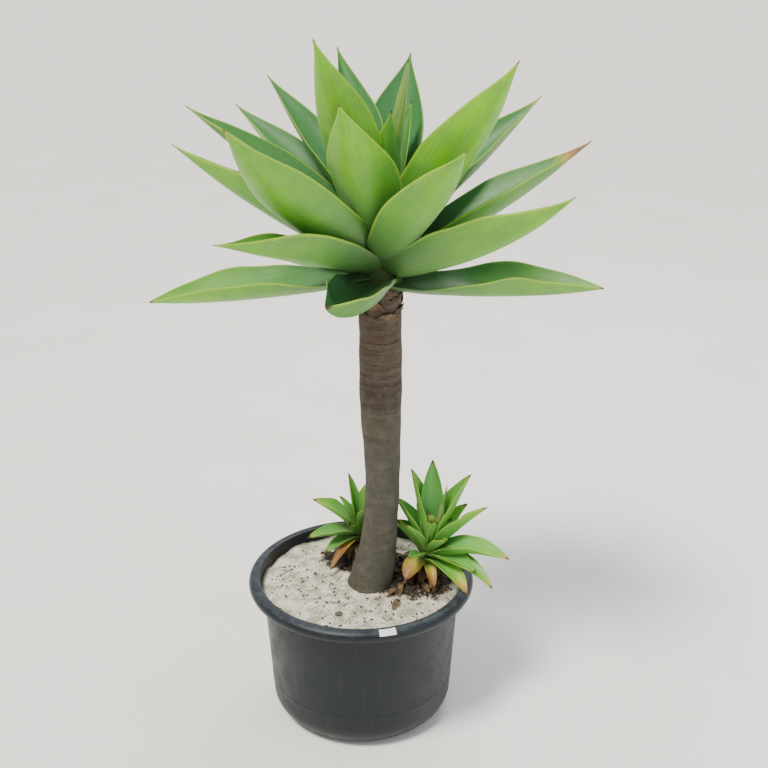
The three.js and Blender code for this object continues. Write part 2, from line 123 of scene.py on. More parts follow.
def connect(tree, shader, base, roughness, height, distance, strength=0.6):
    """Feeds a shader its colour, its roughness and a bump whose relief is a real distance in metres."""
    bump = add(tree, "Bump", {"Height": height, "Distance": distance, "Strength": strength})
    tree.links.new(base, shader.inputs["Base Color"])
    tree.links.new(roughness, shader.inputs["Roughness"])
    tree.links.new(bump[0], shader.inputs["Normal"])


# %% [markdown]
# ## From points to a piece
# Leaves, trunk, pot and label are all rows of rings, so one helper skins rings into a closed mesh. It could
# be done with curves and modifiers, but rings of points keep every edge where the frame has it. The helper
# also stores named fields on the points, such as how far a point is from the leaf's edge, for the materials.
# %% Helpers for meshes
def piece(name, points, faces, material, slot, stands_for=(), fields=None):
    """Makes one object from points in metres, gives it its finish, and ties it to the frame."""
    mesh = bpy.data.meshes.new(name)
    mesh.from_pydata([tuple(p) for p in points], [], faces)
    for field, values in (fields or {}).items():
        values = np.asarray(values, np.float32)
        kind = "FLOAT" if values.ndim == 1 else "FLOAT_VECTOR"
        layer = mesh.attributes.new(field, kind, "POINT")
        layer.data.foreach_set("value" if values.ndim == 1 else "vector", values.ravel())
    shape = bmesh.new()
    shape.from_mesh(mesh)
    bmesh.ops.recalc_face_normals(shape, faces=shape.faces)
    shape.to_mesh(mesh)
    shape.free()
    mesh.polygons.foreach_set("use_smooth", [True] * len(mesh.polygons))
    mesh.materials.append(material)
    made = bpy.data.objects.new(name, mesh)
    bpy.context.scene.collection.objects.link(made)
    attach(made, "root")
    if stands_for:
        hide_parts(*stands_for)
    return made


def ring_faces(rings, around, closed=False, start=0):
    """Quads between neighbouring rings; a closed row also joins its last ring to its first."""
    faces = []
    for k in range(rings if closed else rings - 1):
        here, there = start + k * around, start + (k + 1) % rings * around
        for i in range(around):
            j = (i + 1) % around
            faces.append((here + i, here + j, there + j, there + i))
    return faces


def fan(ring_start, around, point):
    """Triangles from one ring to a single point."""
    return [(ring_start + i, ring_start + (i + 1) % around, point) for i in range(around)]


def caps(count, around, start=0):
    """The two faces that close a stack of rings at its ends."""
    last = start + (count - 1) * around
    return [tuple(range(start, start + around)), tuple(range(last, last + around))]


def lerp(a, b, t):
    return a + (b - a) * t


def smooth_step(value, low, high):
    t = np.clip((value - low) / (high - low), 0, 1)
    return t * t * (3 - 2 * t)


# %% [markdown]
# ## Leaf skin
# A foxtail agave's leaf is covered by a waxy cuticle: green with a pale bloom that rubs off, a paler and more
# matt underside, a thin yellow-green margin, and a short dry tip. The skin could be a flat green with noise,
# but what makes it read as a leaf is that each of these follows the leaf. So the mesh carries fields: metres
# from the edge, the tip and the stem, which face it is, how much painted sunlight the leaf carries (the rest
# is painted shade) and how far it has dried. The veins run lengthwise about 1 mm apart, and are drawn 1.6 mm
# apart to show. Wax scatters light a little and has an IOR of about 1.45.
# %% The leaf materials
def leaf_skin(name, reach, rim, colours):
    """A leaf's finish: reach is its usual length and rim its margin's width, in metres."""
    sunny, shady, under, young, margin = colours
    material, tree, shader = new_material(name)
    field = {
        f: add(tree, "Attribute", {}, attribute_name=f)
        for f in ("span", "edge", "tip", "stem", "upper", "sun", "dry")
    }
    amount = {f: field[f]["Fac"] for f in field}
    span = field["span"]["Vector"]
    stretched = add(tree, "Mapping", {"Vector": span, "Scale": (1 / (1.6 * MM), 1 / (70 * MM), 1)})[0]
    veins = add(tree, "TexNoise", {"Vector": stretched, "Scale": 1.0, "Detail": 3.0})[0]
    clouds = add(tree, "TexNoise", {"Vector": span, "Scale": 1 / (45 * MM), "Detail": 4.0})[0]
    bloom = add(tree, "TexNoise", {"Vector": span, "Scale": 1 / (9 * MM), "Detail": 5.0, "Roughness": 0.7})[0]

    # Painted light: the sun field and the outer half are painted sunlit and yellower, and the half near the
    # stem is painted shade, greyer.
    outer = add(
        tree, "MapRange",
        {"Value": amount["stem"], "From Min": 0.1 * reach, "From Max": 0.85 * reach, "To Min": 0.12},
        **SOFT_ENDS,
    )[0]
    lit = add(tree, "Math", {0: amount["sun"], 1: outer}, operation="MULTIPLY")[0]
    top = add(tree, "Mix", {0: lit, 6: shady, 7: sunny}, **ON_COLOURS)[2]
    share = add(tree, "MapRange", {"Value": lit, "From Min": 0.02, "From Max": 0.9}, **SOFT_ENDS)[0]
    bottom = add(tree, "Mix", {0: share, 6: under, 7: sunny}, **ON_COLOURS)[2]
    base = add(tree, "Mix", {0: amount["upper"], 6: bottom, 7: top}, **ON_COLOURS)[2]
    share = add(
        tree, "MapRange", {"Value": clouds, "From Min": 0.35, "From Max": 0.75, "To Max": 0.35},
        **SOFT_ENDS,
    )[0]
    base = add(tree, "Mix", {0: share, 6: base, 7: shady}, **ON_COLOURS)[2]
    share = add(
        tree, "MapRange", {"Value": bloom, "From Min": 0.5, "From Max": 0.8, "To Max": 0.22}, **SOFT_ENDS
    )[0]
    base = add(tree, "Mix", {0: share, 6: base, 7: "#9db08c"}, **ON_COLOURS)[2]
    share = add(
        tree, "MapRange", {"Value": veins, "From Min": 0.42, "From Max": 0.72, "To Max": 0.26}, **SOFT_ENDS
    )[0]
    base = add(tree, "Mix", {0: share, 6: base, 7: "#32551f"}, **ON_COLOURS)[2]
    # Painted shade: near the stem the base colour is laid on. It is the base's own tint and also, darkest on
    # the mature leaves, painted shade where the leaves crowd.
    near_stem_painted_shade = add(
        tree, "MapRange",
        {"Value": amount["stem"], "From Min": 0.02 * reach, "From Max": 0.5 * reach, "To Min": 0.78,
         "To Max": 0.0},
        **SOFT_ENDS,
    )[0]
    base = add(tree, "Mix", {0: near_stem_painted_shade, 6: base, 7: young}, **ON_COLOURS)[2]
    near_edge = add(
        tree, "MapRange",
        {"Value": amount["edge"], "From Min": 0.3 * rim, "From Max": 1.0 * rim, "To Min": 0.62,
         "To Max": 0.0},
        **SOFT_ENDS,
    )[0]
    past_base = add(
        tree, "MapRange", {"Value": amount["stem"], "From Min": 0.1 * reach, "From Max": 0.4 * reach},
        **SOFT_ENDS,
    )[0]
    edging = add(tree, "Math", {0: near_edge, 1: past_base}, operation="MULTIPLY")[0]
    base = add(tree, "Mix", {0: edging, 6: base, 7: margin}, **ON_COLOURS)[2]

    # Drying starts at the tip and creeps down in tongues along the veins.
    tongues = add(tree, "TexNoise", {"Vector": stretched, "Scale": 0.35, "Detail": 2.0})[0]
    uneven = add(tree, "Math", {0: tongues, 1: 0.05, 2: amount["tip"]}, operation="MULTIPLY_ADD")[0]
    dried = add(tree, "Math", {0: amount["dry"], 1: uneven}, operation="SUBTRACT")[0]
    share = add(tree, "MapRange", {"Value": dried, "From Min": -0.035, "From Max": 0.0}, **SOFT_ENDS)[0]
    base = add(tree, "Mix", {0: share, 6: base, 7: "#b59f35"}, **ON_COLOURS)[2]
    share = add(tree, "MapRange", {"Value": dried, "From Min": -0.012, "From Max": 0.02}, **SOFT_ENDS)[0]
    base = add(tree, "Mix", {0: share, 6: base, 7: "#8a6236"}, **ON_COLOURS)[2]
    point = add(
        tree, "MapRange",
        {"Value": amount["tip"], "From Min": 4 * MM, "From Max": 13 * MM, "To Min": 1.0, "To Max": 0.0},
        **SOFT_ENDS,
    )[0]
    base = add(tree, "Mix", {0: point, 6: base, 7: "#4a2c1a"}, **ON_COLOURS)[2]
    nick = add(tree, "TexVoronoi", {"Vector": span, "Scale": 1 / (34 * MM), "Randomness": 1.0})[0]
    share = add(
        tree, "MapRange", {"Value": nick, "From Min": 0.02, "From Max": 0.05, "To Min": 0.6, "To Max": 0.0},
        **SOFT_ENDS,
    )[0]
    base = add(tree, "Mix", {0: share, 6: base, 7: "#5d5a2d"}, **ON_COLOURS)[2]

    rough = add(
        tree, "MapRange", {"Value": bloom, "From Min": 0.3, "From Max": 0.8, "To Min": 0.4, "To Max": 0.56},
        **SOFT_ENDS,
    )[0]
    relief = add(tree, "Math", {0: veins, 1: 0.35, 2: clouds}, operation="MULTIPLY_ADD")[0]
    connect(tree, shader, base, rough, relief, 0.35 * MM, 0.7)
    shader.inputs["IOR"].default_value = 1.45
    shader.inputs["Subsurface Weight"].default_value = 0.08
    shader.inputs["Subsurface Radius"].default_value = (0.3, 0.6, 0.12)
    shader.inputs["Subsurface Scale"].default_value = 4 * MM
    return material


# Each skin's colours: painted sunlit face, painted shaded face, underside, base with painted shade, margin.
MATURE_GREENS = ("#80c400", "#3f7e4a", "#629a3e", "#405a36", "#a9cc2e")
FURLED_GREENS = ("#8db448", "#6a9558", "#7c9d60", "#a3a968", "#a8c25a")
OFFSET_GREENS = ("#8cc61c", "#4f9a50", "#6cac50", "#5f7a38", "#a0c23a")
mature_cuticle = leaf_skin("mature_leaf_cuticle", 0.45, 2.4 * MM, MATURE_GREENS)
furled_cuticle = leaf_skin("furled_leaf_cuticle", 0.3, 2.0 * MM, FURLED_GREENS)
offset_cuticle = leaf_skin("offset_leaf_cuticle", 0.15, 1.2 * MM, OFFSET_GREENS)
print("leaf finishes:", mature_cuticle.name, furled_cuticle.name, offset_cuticle.name)

# %% [markdown]
# ## The trunk's line
# The trunk bends back from its foot and straightens as it rises. Its line is not drawn again: the frame's
# trunk is a stack of level rings, so the centre and radius of each ring are measured from it, and a smooth
# curve through those numbers gives the axis at any height.
# %% Measure the trunk
def stem_rings(node):
    """Height, centre and radius of each level ring of a stem's mesh, from the foot up."""
    levels = {}
    for vertex in nodes[node].data.vertices:
        levels.setdefault(round(vertex.co.z, 5), set()).add((round(vertex.co.x, 5), round(vertex.co.y, 5)))
    rows = []
    for z in sorted(levels):
        spots = np.array(sorted(levels[z]))
        if len(spots) < 8:
            continue
        centre = (spots.max(0) + spots.min(0)) / 2
        rows.append((z, *centre, np.linalg.norm(spots - centre, axis=1).mean()))
    return np.array(rows)


def through(rows, z):
    """Smooth values of the rows' columns at one or more heights, by a cubic through each four rows."""
    z = np.atleast_1d(z)
    heights = rows[:, 0]
    k = np.clip(np.searchsorted(heights, z) - 1, 0, len(rows) - 2)
    t = ((z - heights[k]) / (heights[k + 1] - heights[k]))[:, None]
    p = [rows[np.clip(k + step, 0, len(rows) - 1), 1:] for step in (-1, 0, 1, 2)]
    return 0.5 * (
        2 * p[1]
        + (p[2] - p[0]) * t
        + (2 * p[0] - 5 * p[1] + 4 * p[2] - p[3]) * t**2
        + (3 * p[1] - p[0] - 3 * p[2] + p[3]) * t**3
    )


trunk_rows = stem_rings("trunk")
soil_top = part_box("potting_soil")[1].z
trunk_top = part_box("trunk")[1].z
crown_height = trunk_top - 132 * MM
foot_and_top = [round(z / MM) for z in (trunk_rows[0, 0], trunk_top)]
print("trunk:", len(trunk_rows), "rings, from and to", foot_and_top, "mm")

# %% [markdown]
# ## One leaf
# On the plant a leaf is a thick, channelled blade: widest past its middle, drawn in at the neck, with a blunt
# rounded edge and a point. It is built as a loft along a bent midline, in the same terms as the frame's
# leaf, but with 46 sections instead of 9, or 30 on an offset. The fold is a parabola across the blade, and
# the thickness falls from the keel to the edge. The base bends back round the stem, as a real leaf clasps it.
# A slow wave along each edge, different on each side, keeps leaves from looking stamped out.
# %% The leaf's shape
AROUND_FACE = 15
SECTIONS = 46
OFFSET_SECTIONS = 30
OFFSET_SEED, YOUNG_SEED = 100, 200  # each leaf's waves start from its own number
MIDLINE_STEPS = 60


def heading(turn, rise):
    """A direction: turn 0 faces the front and 90 the right; rise lifts it. In radians."""
    return np.array([math.sin(turn) * math.cos(rise), -math.cos(turn) * math.cos(rise), math.sin(rise)])


def width_share(s, neck, widest, taper):
    """Half of the blade's width at a share of its length, as a share of the widest place."""
    if s < widest:
        return lerp(neck, 1, math.sin(s / widest * math.pi / 2))
    return max(math.cos((s - widest) / (1 - widest) * math.pi / 2), 0) ** taper


def midline(leaf):
    """Places and headings at even steps along the bent midline."""
    places, headings = [np.array(leaf["start"])], []
    for i in range(MIDLINE_STEPS + 1):
        s = i / MIDLINE_STEPS
        rise = leaf["rise"] + leaf["bend"] * (s - 0.5) + leaf["curl"] * (max(0, s - 0.55) / 0.45) ** 2
        turn = leaf["turn"] + leaf["sweep"] * s * s
        headings.append(heading(math.radians(turn), math.radians(rise)))
        places.append(places[-1] + headings[-1] * leaf["length"] * MM / MIDLINE_STEPS)
    return np.array(places[:-1]), np.array(headings)


def between(rows, s):
    k = min(s * MIDLINE_STEPS, MIDLINE_STEPS - 1e-6)
    return lerp(rows[int(k)], rows[int(k) + 1], k - int(k))


def section(leaf, s, places, headings, seed):
    """One ring of the blade and its fields."""
    ahead = between(headings, s)
    ahead = ahead / np.linalg.norm(ahead)
    turn = math.radians(leaf["turn"])
    side = np.array([math.cos(turn), math.sin(turn), 0])
    side -= side.dot(ahead) * ahead
    side /= np.linalg.norm(side)
    up = np.cross(ahead, side)
    roll = math.radians(leaf["roll"])
    side, up = side * math.cos(roll) - up * -math.sin(roll), up * math.cos(roll) - side * math.sin(roll)

    left = (1 - s) * leaf["length"] * MM
    spine = 0.45 * leaf["rim"] * MM * min(left / (7 * MM), 1) ** 0.5
    share = width_share(s, leaf["neck"], leaf["widest"], leaf["taper"])
    half = math.hypot(leaf["width"] / 2 * MM * share, spine)
    clasped = 1 - smooth_step(s, 0, 0.14)
    half = lerp(half, min(half, 0.96 * leaf["clasp"]), clasped)
    folded_from, folded_at = (0.2, 0.62) if leaf["late"] else (0.55, 0.3)
    fold = math.radians(leaf["fold"]) * lerp(folded_from, 1, float(smooth_step(s, 0, folded_at)))
    lift, reach = half * math.sin(fold), half * math.cos(fold)
    butt = leaf["butt"] * MM * lerp((1 - s) ** 1.3, 1, 0.06)
    thick = butt * min(2 * half / (leaf["width"] * MM * leaf["neck"]), 1)
    rim = leaf["rim"] * MM * min(max(5 * half / (leaf["width"] * MM), 0.4), 1) * min(1, left / (5 * MM))

    across = -np.cos(np.linspace(0, math.pi, AROUND_FACE))
    lens = np.clip(1 - across**2, 0, 1) ** 0.87
    calm = math.sin(math.pi * min(s * 1.02, 1)) ** 1.5 * leaf["width"] / 140
    wave = np.where(
        across > 0,
        noise.noise(Vector((s * 4.2, seed, 0.3))),
        noise.noise(Vector((s * 4.2, seed, 7.9))),
    )
    fold_line = lift * across**2 + 9 * MM * calm * wave * across**2
    lobe = leaf["lobe"] * MM * math.exp(-(((s - 0.8) / 0.14) ** 2))
    fold_line = fold_line + lobe * np.clip(-across, 0, 1) ** 2
    under = fold_line - 0.58 * thick * lens - rim / 2
    over = fold_line + 0.42 * thick * lens + rim / 2
    bulge = rim * 0.45
    rows = [(u * reach, h, u, 0.0) for u, h in zip(across, under)]
    rows.append((reach + bulge, fold_line[-1], 1, 0.5))
    rows += [(u * reach, h, u, 1.0) for u, h in zip(across[::-1], over[::-1])]
    rows.append((-reach - bulge, fold_line[0], -1, 0.5))
    rows = np.array(rows)
    centre = between(places, s)
    back = 0.6 * leaf["clasp"] * clasped * rows[:, 2:3] ** 2
    points = centre + rows[:, :1] * side + rows[:, 1:2] * up - back * ahead
    along = s * leaf["length"] * MM
    many = np.ones(len(rows))
    fields = {
        "span": np.stack([rows[:, 2] * half, many * along, rows[:, 3] * 0.4 + seed], axis=1),
        "edge": (1 - np.abs(rows[:, 2])) * half,
        "tip": many * (leaf["length"] * MM - along),
        "stem": many * along,
        "upper": rows[:, 3],
        "sun": many * leaf["sun"],
        "dry": many * leaf["dry"] * MM,
    }
    return points, fields


def make_leaf(name, leaf, material, slot, seed, sections=SECTIONS, stands_for=None):
    """One leaf from its midline and its rings; unless told otherwise it stands for the node of its name."""
    places, headings = midline(leaf)
    shares = 1 - (1 - np.linspace(0, 1, sections + 1)[:-1]) ** 1.25
    made = [section(leaf, s, places, headings, seed) for s in shares]
    around = len(made[0][0])
    points = np.concatenate([m[0] for m in made] + [between(places, 1.0)[None]])
    fields = {k: np.concatenate([m[1][k] for m in made] + [made[-1][1][k][:1]]) for k in made[0][1]}
    last = (sections - 1) * around
    faces = ring_faces(sections, around) + fan(last, around, len(points) - 1)
    faces.append(tuple(range(around)))
    return piece(name, points, faces, material, slot, [name] if stands_for is None else stands_for, fields)


PLAIN_LEAF = dict(curl=0, sweep=0, roll=0, neck=0.62, widest=0.47, taper=1.3, late=False, lobe=0, sun=0.3,
                  dry=6)

# %% [markdown]
# ## The crown
# An agave sets its leaves one by one round the stem, each 137.5 degrees from the last: the golden angle. The
# table gives each leaf's place on that spiral, how far it strays from it, and how it is held: the rise of its
# middle, the bend along it, its length, width and fold. Young leaves stand up, old ones lie low. Sun says how
# much painted sunlight yellows its skin, the rest being painted shade, and dry how many millimetres of its
# tip have dried. The third leaf is short and cupped: its tip curls up and one edge stands up in a lobe.
# %% Build the crown's leaves
SPIRAL_START, GOLDEN_ANGLE, SPIRAL_PITCH = 85, 137.5, 4.5
CROWN_LEAVES = [
    dict(place=0, rise=0, bend=16, length=428, width=140, fold=40, widest=0.56, sun=0.45, dry=4, taper=0.9,
         late=True),
    dict(place=1, rise=-3, bend=8, length=440, width=140, fold=38, dry=12),
    dict(place=2, stray=-18, rise=-3, bend=38, length=222, width=155, fold=40, curl=44, sweep=-34, sun=0.05,
         lobe=30, taper=0.8),
    dict(place=3, rise=1, bend=-6, length=440, width=140, fold=38, dry=12),
    dict(place=4, rise=-6, bend=14, length=448, width=145, fold=39, widest=0.56, sun=0.6, dry=8, taper=0.9,
         late=True),
    dict(place=5, rise=28, bend=26, length=478, width=158, fold=34, curl=4, roll=-20, sun=0.55),
    dict(place=6, rise=4, bend=-6, length=450, width=140, fold=38),
    dict(place=7, stray=-10, rise=19, bend=4, length=438, width=135, fold=42, roll=10, sun=0.45),
    dict(place=8, stray=-8, rise=31, bend=18, length=470, width=140, fold=38, sun=0.2, dry=80),
    dict(place=9, stray=20, rise=30, bend=20, length=464, width=145, fold=40, roll=16, sun=0.5, dry=10),
    dict(place=10, stray=4, rise=41, bend=10, length=455, width=150, fold=28, sun=0.6),
    dict(place=11, rise=22, bend=-12, length=450, width=135, fold=38),
    dict(place=12, stray=23, rise=40, bend=30, length=503, width=150, fold=28, roll=30, sun=0.55, dry=16),
    dict(place=14, stray=22, rise=34, bend=6, length=448, width=130, fold=38, sun=0.1, dry=16),
    dict(place=15, stray=-2, rise=52, bend=6, length=435, width=150, fold=28, sun=0.8),
    dict(place=16, stray=-5, rise=36, bend=8, length=453, width=130, fold=38, sun=0.1, dry=30),
    dict(place=17, rise=36, bend=6, length=458, width=130, fold=38, sun=0.2, dry=22),
    dict(place=18, stray=12, rise=53, bend=16, length=490, width=145, fold=30, roll=-30, sun=1.0, dry=24),
    dict(place=19, stray=-12, rise=55, bend=-4, length=405, width=148, fold=34, sun=0.05),
    dict(place=20, stray=10, rise=65, bend=4, length=457, width=140, fold=36, roll=20, sun=0.9),
    dict(place=22, rise=44, bend=10, length=407, width=108, fold=38, sun=0.1),
    dict(place=23, stray=6, rise=74, bend=4, length=270, width=90, fold=40, sun=0.5),
    dict(place=24, rise=68, bend=4, length=260, width=88, fold=40, sun=0.5),
    dict(place=25, stray=2, rise=69, bend=4, length=303, width=92, fold=40, sun=0.3),
    dict(place=27, stray=8, rise=58, bend=4, length=373, width=110, fold=38, sun=0.15),
]


def crown_leaf(row):
    """Where a row of the table starts on the trunk, and how thick it is there."""
    z = crown_height + row["place"] * SPIRAL_PITCH * MM
    turn = SPIRAL_START + row["place"] * GOLDEN_ANGLE + row.get("stray", 0)
    x, y, radius = through(trunk_rows, z)[0]
    start = np.array([x, y, z]) + heading(math.radians(turn), 0) * radius * 0.45
    butt = 20 * lerp(1, 0.6, row["place"] / 27)
    return {**PLAIN_LEAF, "rim": 2.4, "butt": butt, "clasp": radius, **row, "turn": turn, "start": start}


for number, row in enumerate(CROWN_LEAVES, 1):
    slot = "leaf" if row["place"] < 22 else "young_leaf"
    made = make_leaf(f"crown_leaf_{number:02d}", crown_leaf(row), mature_cuticle, slot, number)
print("crown:", len(CROWN_LEAVES), "leaves of", len(made.data.vertices), "points each")

# %% [markdown]
# ## The offsets' leaves
# Each offset is a small plant of its own, with short leaves crowded on a thin stem. The lowest ones have
# yellowed or died and hang over the sand and the rim. They use the same leaf, thinner and with their own
# skin. The foot and head of each stem are measured from the frame. The frame has the large leaves only, so
# small young ones, set by the golden angle and a seeded dice, fill the heart of each rosette.
# %% Build the offsets' leaves
OFFSET_LEAVES = {
    "right_offset": [
        dict(turn=36, rise=-10, bend=-50, length=152, width=52, fold=34, sun=0.9, dry=45),
        dict(turn=14, rise=-30, bend=-50, length=84, width=27, fold=30, sun=0.6, dry=60),
        dict(turn=-38, rise=-26, bend=-40, length=76, width=49, fold=24, sun=0.9, dry=62),
        dict(turn=52, rise=-8, bend=-56, length=180, width=52, fold=34, sun=0.5, dry=28),
        dict(turn=150, rise=6, bend=-16, length=130, width=52, fold=34),
        dict(turn=63, rise=10, bend=-30, length=194, width=74, fold=34, sun=0.45, dry=22),
        dict(turn=44, rise=3, bend=-16, length=138, width=60, fold=32, sun=0.4, dry=8),
        dict(turn=-165, rise=20, bend=-10, length=125, width=57, fold=34),
        dict(turn=-92, rise=49, bend=-6, length=101, width=54, fold=34, sun=0.3),
        dict(turn=120, rise=43, bend=-8, length=130, width=57, fold=34, sun=0.8),
        dict(turn=-98, rise=60, bend=-4, length=143, width=60, fold=34, sun=0.25),
        dict(turn=78, rise=44, bend=-6, length=167, width=70, fold=28, roll=-20, sun=0.5),
        dict(turn=96, rise=65, bend=-4, length=194, width=70, fold=34, sun=0.45),
        dict(turn=-108, rise=77, bend=0, length=190, width=63, fold=36, sun=0.35),
        dict(turn=178, rise=82, bend=0, length=198, width=63, fold=36, sun=0.2),
        dict(turn=-20, rise=80, bend=4, length=96, width=38, fold=36, sun=0.5),
    ],
    "left_offset": [
        dict(turn=-36, rise=-22, bend=-44, length=110, width=22, fold=30, sun=0.9, dry=100),
        dict(turn=-54, rise=-12, bend=-20, length=88, width=38, fold=34, sun=0.5, dry=10),
        dict(turn=95, rise=10, bend=-14, length=88, width=41, fold=34),
        dict(turn=-68, rise=4, bend=-14, length=118, width=46, fold=34, sun=0.45, dry=14),
        dict(turn=168, rise=16, bend=-10, length=100, width=41, fold=34),
        dict(turn=-84, rise=38, bend=-18, length=126, width=64, fold=28, sun=0.8, dry=16),
        dict(turn=-130, rise=78, bend=0, length=128, width=33, fold=36, sun=0.6, dry=12),
        dict(turn=120, rise=79, bend=0, length=104, width=44, fold=36, sun=0.9),
    ],
}
OFFSET_CROWN = 34 * MM
OFFSET_HEAD_RADIUS = 12 * MM


def offset_leaf(row, order, count, stem):
    """The oldest leaf sits lowest: OFFSET_CROWN down the stem from its head."""
    foot = np.array([*stem[0, 1:3], soil_top])
    head = np.array([*stem[-1, 1:3], stem[-1, 0]])
    down = OFFSET_CROWN * (1 - order / count) / np.linalg.norm(head - foot)
    start = lerp(head, foot, down) + heading(math.radians(row["turn"]), 0) * OFFSET_HEAD_RADIUS * 0.4
    butt = 9 * min(max(row["width"] / 36, 0.5), 1)
    usual = {**PLAIN_LEAF, "rim": 1.5, "butt": butt, "clasp": OFFSET_HEAD_RADIUS, "taper": 0.85, "dry": 12}
    return {**usual, **row, "start": start}


offset_stems = {name: stem_rings(f"{name}_stem") for name in OFFSET_LEAVES}
for name, rows in OFFSET_LEAVES.items():
    for order, row in enumerate(rows):
        leaf = offset_leaf(row, order, len(rows), offset_stems[name])
        seed = OFFSET_SEED + order + len(name)
        make_leaf(f"{name}_leaf_{order + 1:02d}", leaf, offset_cuticle, "offset_leaf", seed, OFFSET_SECTIONS)
    print(name, "leaves:", len(rows))


def young_leaf(dice, k, count, stretch):
    """The row of one small leaf: the later it comes, the steeper it stands."""
    return dict(
        turn=k * GOLDEN_ANGLE + 60,
        rise=lerp(16, 74, k / count) + dice.uniform(-5, 5),
        bend=-10,
        fold=36,
        length=dice.uniform(84, 112) * stretch,
        width=dice.uniform(32, 40) * stretch,
        sun=dice.uniform(0.3, 0.8),
        dry=dice.uniform(3, 12),
    )


dice = random.Random(23)
for name, count, stretch in (("right_offset", 11, 1), ("left_offset", 6, 0.8)):
    for k in range(count):
        leaf = offset_leaf(young_leaf(dice, k, count, stretch), k, count, offset_stems[name])
        made_name = f"{name}_young_leaf_{k + 1:02d}"
        make_leaf(made_name, leaf, offset_cuticle, "offset_leaf", YOUNG_SEED + k, OFFSET_SECTIONS, ())

# %% [markdown]
# ## Furled spears
# The youngest leaves are still rolled round each other into a spear. A plain cone would do for its outline,
# but the eye looks for the wrapped edges. So the ring is a snail's curve: it steps out where one leaf's edge
# lies over the next, and the step winds up the spear.
# %% Build the spears
SPEAR_AROUND, SPEAR_RINGS = 48, 60
SPEAR_SECTIONS = ([0, 0.25, 0.55, 0.8, 0.94, 1.0], [0.8, 1, 0.86, 0.5, 0.2, 0.02])


def make_spear(name, foot, turn, rise, length, radius, stretch, material, slot):
    ahead = heading(math.radians(turn), math.radians(rise))
    side = np.cross(ahead, [0, 1.0, 0])
    side /= np.linalg.norm(side)
    up = np.cross(ahead, side)
    rings, fields = [], {f: [] for f in ("span", "edge", "tip", "stem", "upper", "sun", "dry")}
    theta = np.linspace(0, 2 * math.pi, SPEAR_AROUND, endpoint=False)
    for s in np.linspace(0, 0.995, SPEAR_RINGS):
        wide = np.interp(s, *SPEAR_SECTIONS) * radius
        outer_edge, inner_edge = theta - 2.4 * s, theta + 2.2 - 1.3 * s
        wrap = np.minimum(outer_edge / (2 * math.pi) % 1, inner_edge / (2 * math.pi) % 1)
        snail = wide * (0.93 + 0.11 * (1 - wrap))
        centre = foot + ahead * s * length
        rings.append(centre + np.outer(snail * np.cos(theta), side) + np.outer(snail * np.sin(theta), up))
        many = np.ones(SPEAR_AROUND)
        fields["span"].append(np.stack([theta * wide, many * s * length, many * stretch], axis=1))
        fields["edge"].append(wrap * 2 * math.pi * wide)
        fields["tip"].append(many * (1 - s) * length)
        fields["stem"].append(many * s * length)
        fields["upper"].append(many * 0)
        fields["sun"].append(many * 0.6)
        fields["dry"].append(many * 3 * MM)
    points = np.concatenate(rings + [(foot + ahead * length)[None]])
    fields = {k: np.concatenate(v + [v[-1][:1]]) for k, v in fields.items()}
    last = (SPEAR_RINGS - 1) * SPEAR_AROUND
    faces = ring_faces(SPEAR_RINGS, SPEAR_AROUND) + fan(last, SPEAR_AROUND, len(points) - 1)
    faces.append(tuple(range(SPEAR_AROUND)))
    return piece(name, points, faces, material, slot, [name], fields)


crown_top = np.array([*through(trunk_rows, trunk_top)[0][:2], trunk_top])
make_spear("central_spear", crown_top, 40, 76, 330 * MM, 17 * MM, 0.2, furled_cuticle, "young_leaf")
right_stem = offset_stems["right_offset"]
right_head = np.array([*right_stem[-1, 1:3], right_stem[-1, 0]])
make_spear("right_offset_spear", right_head, 110, 77, 146 * MM, 7 * MM, 0.4, furled_cuticle, "young_leaf")
print("spears stand on", [round(v / MM) for v in crown_top], "and", [round(v / MM) for v in right_head])

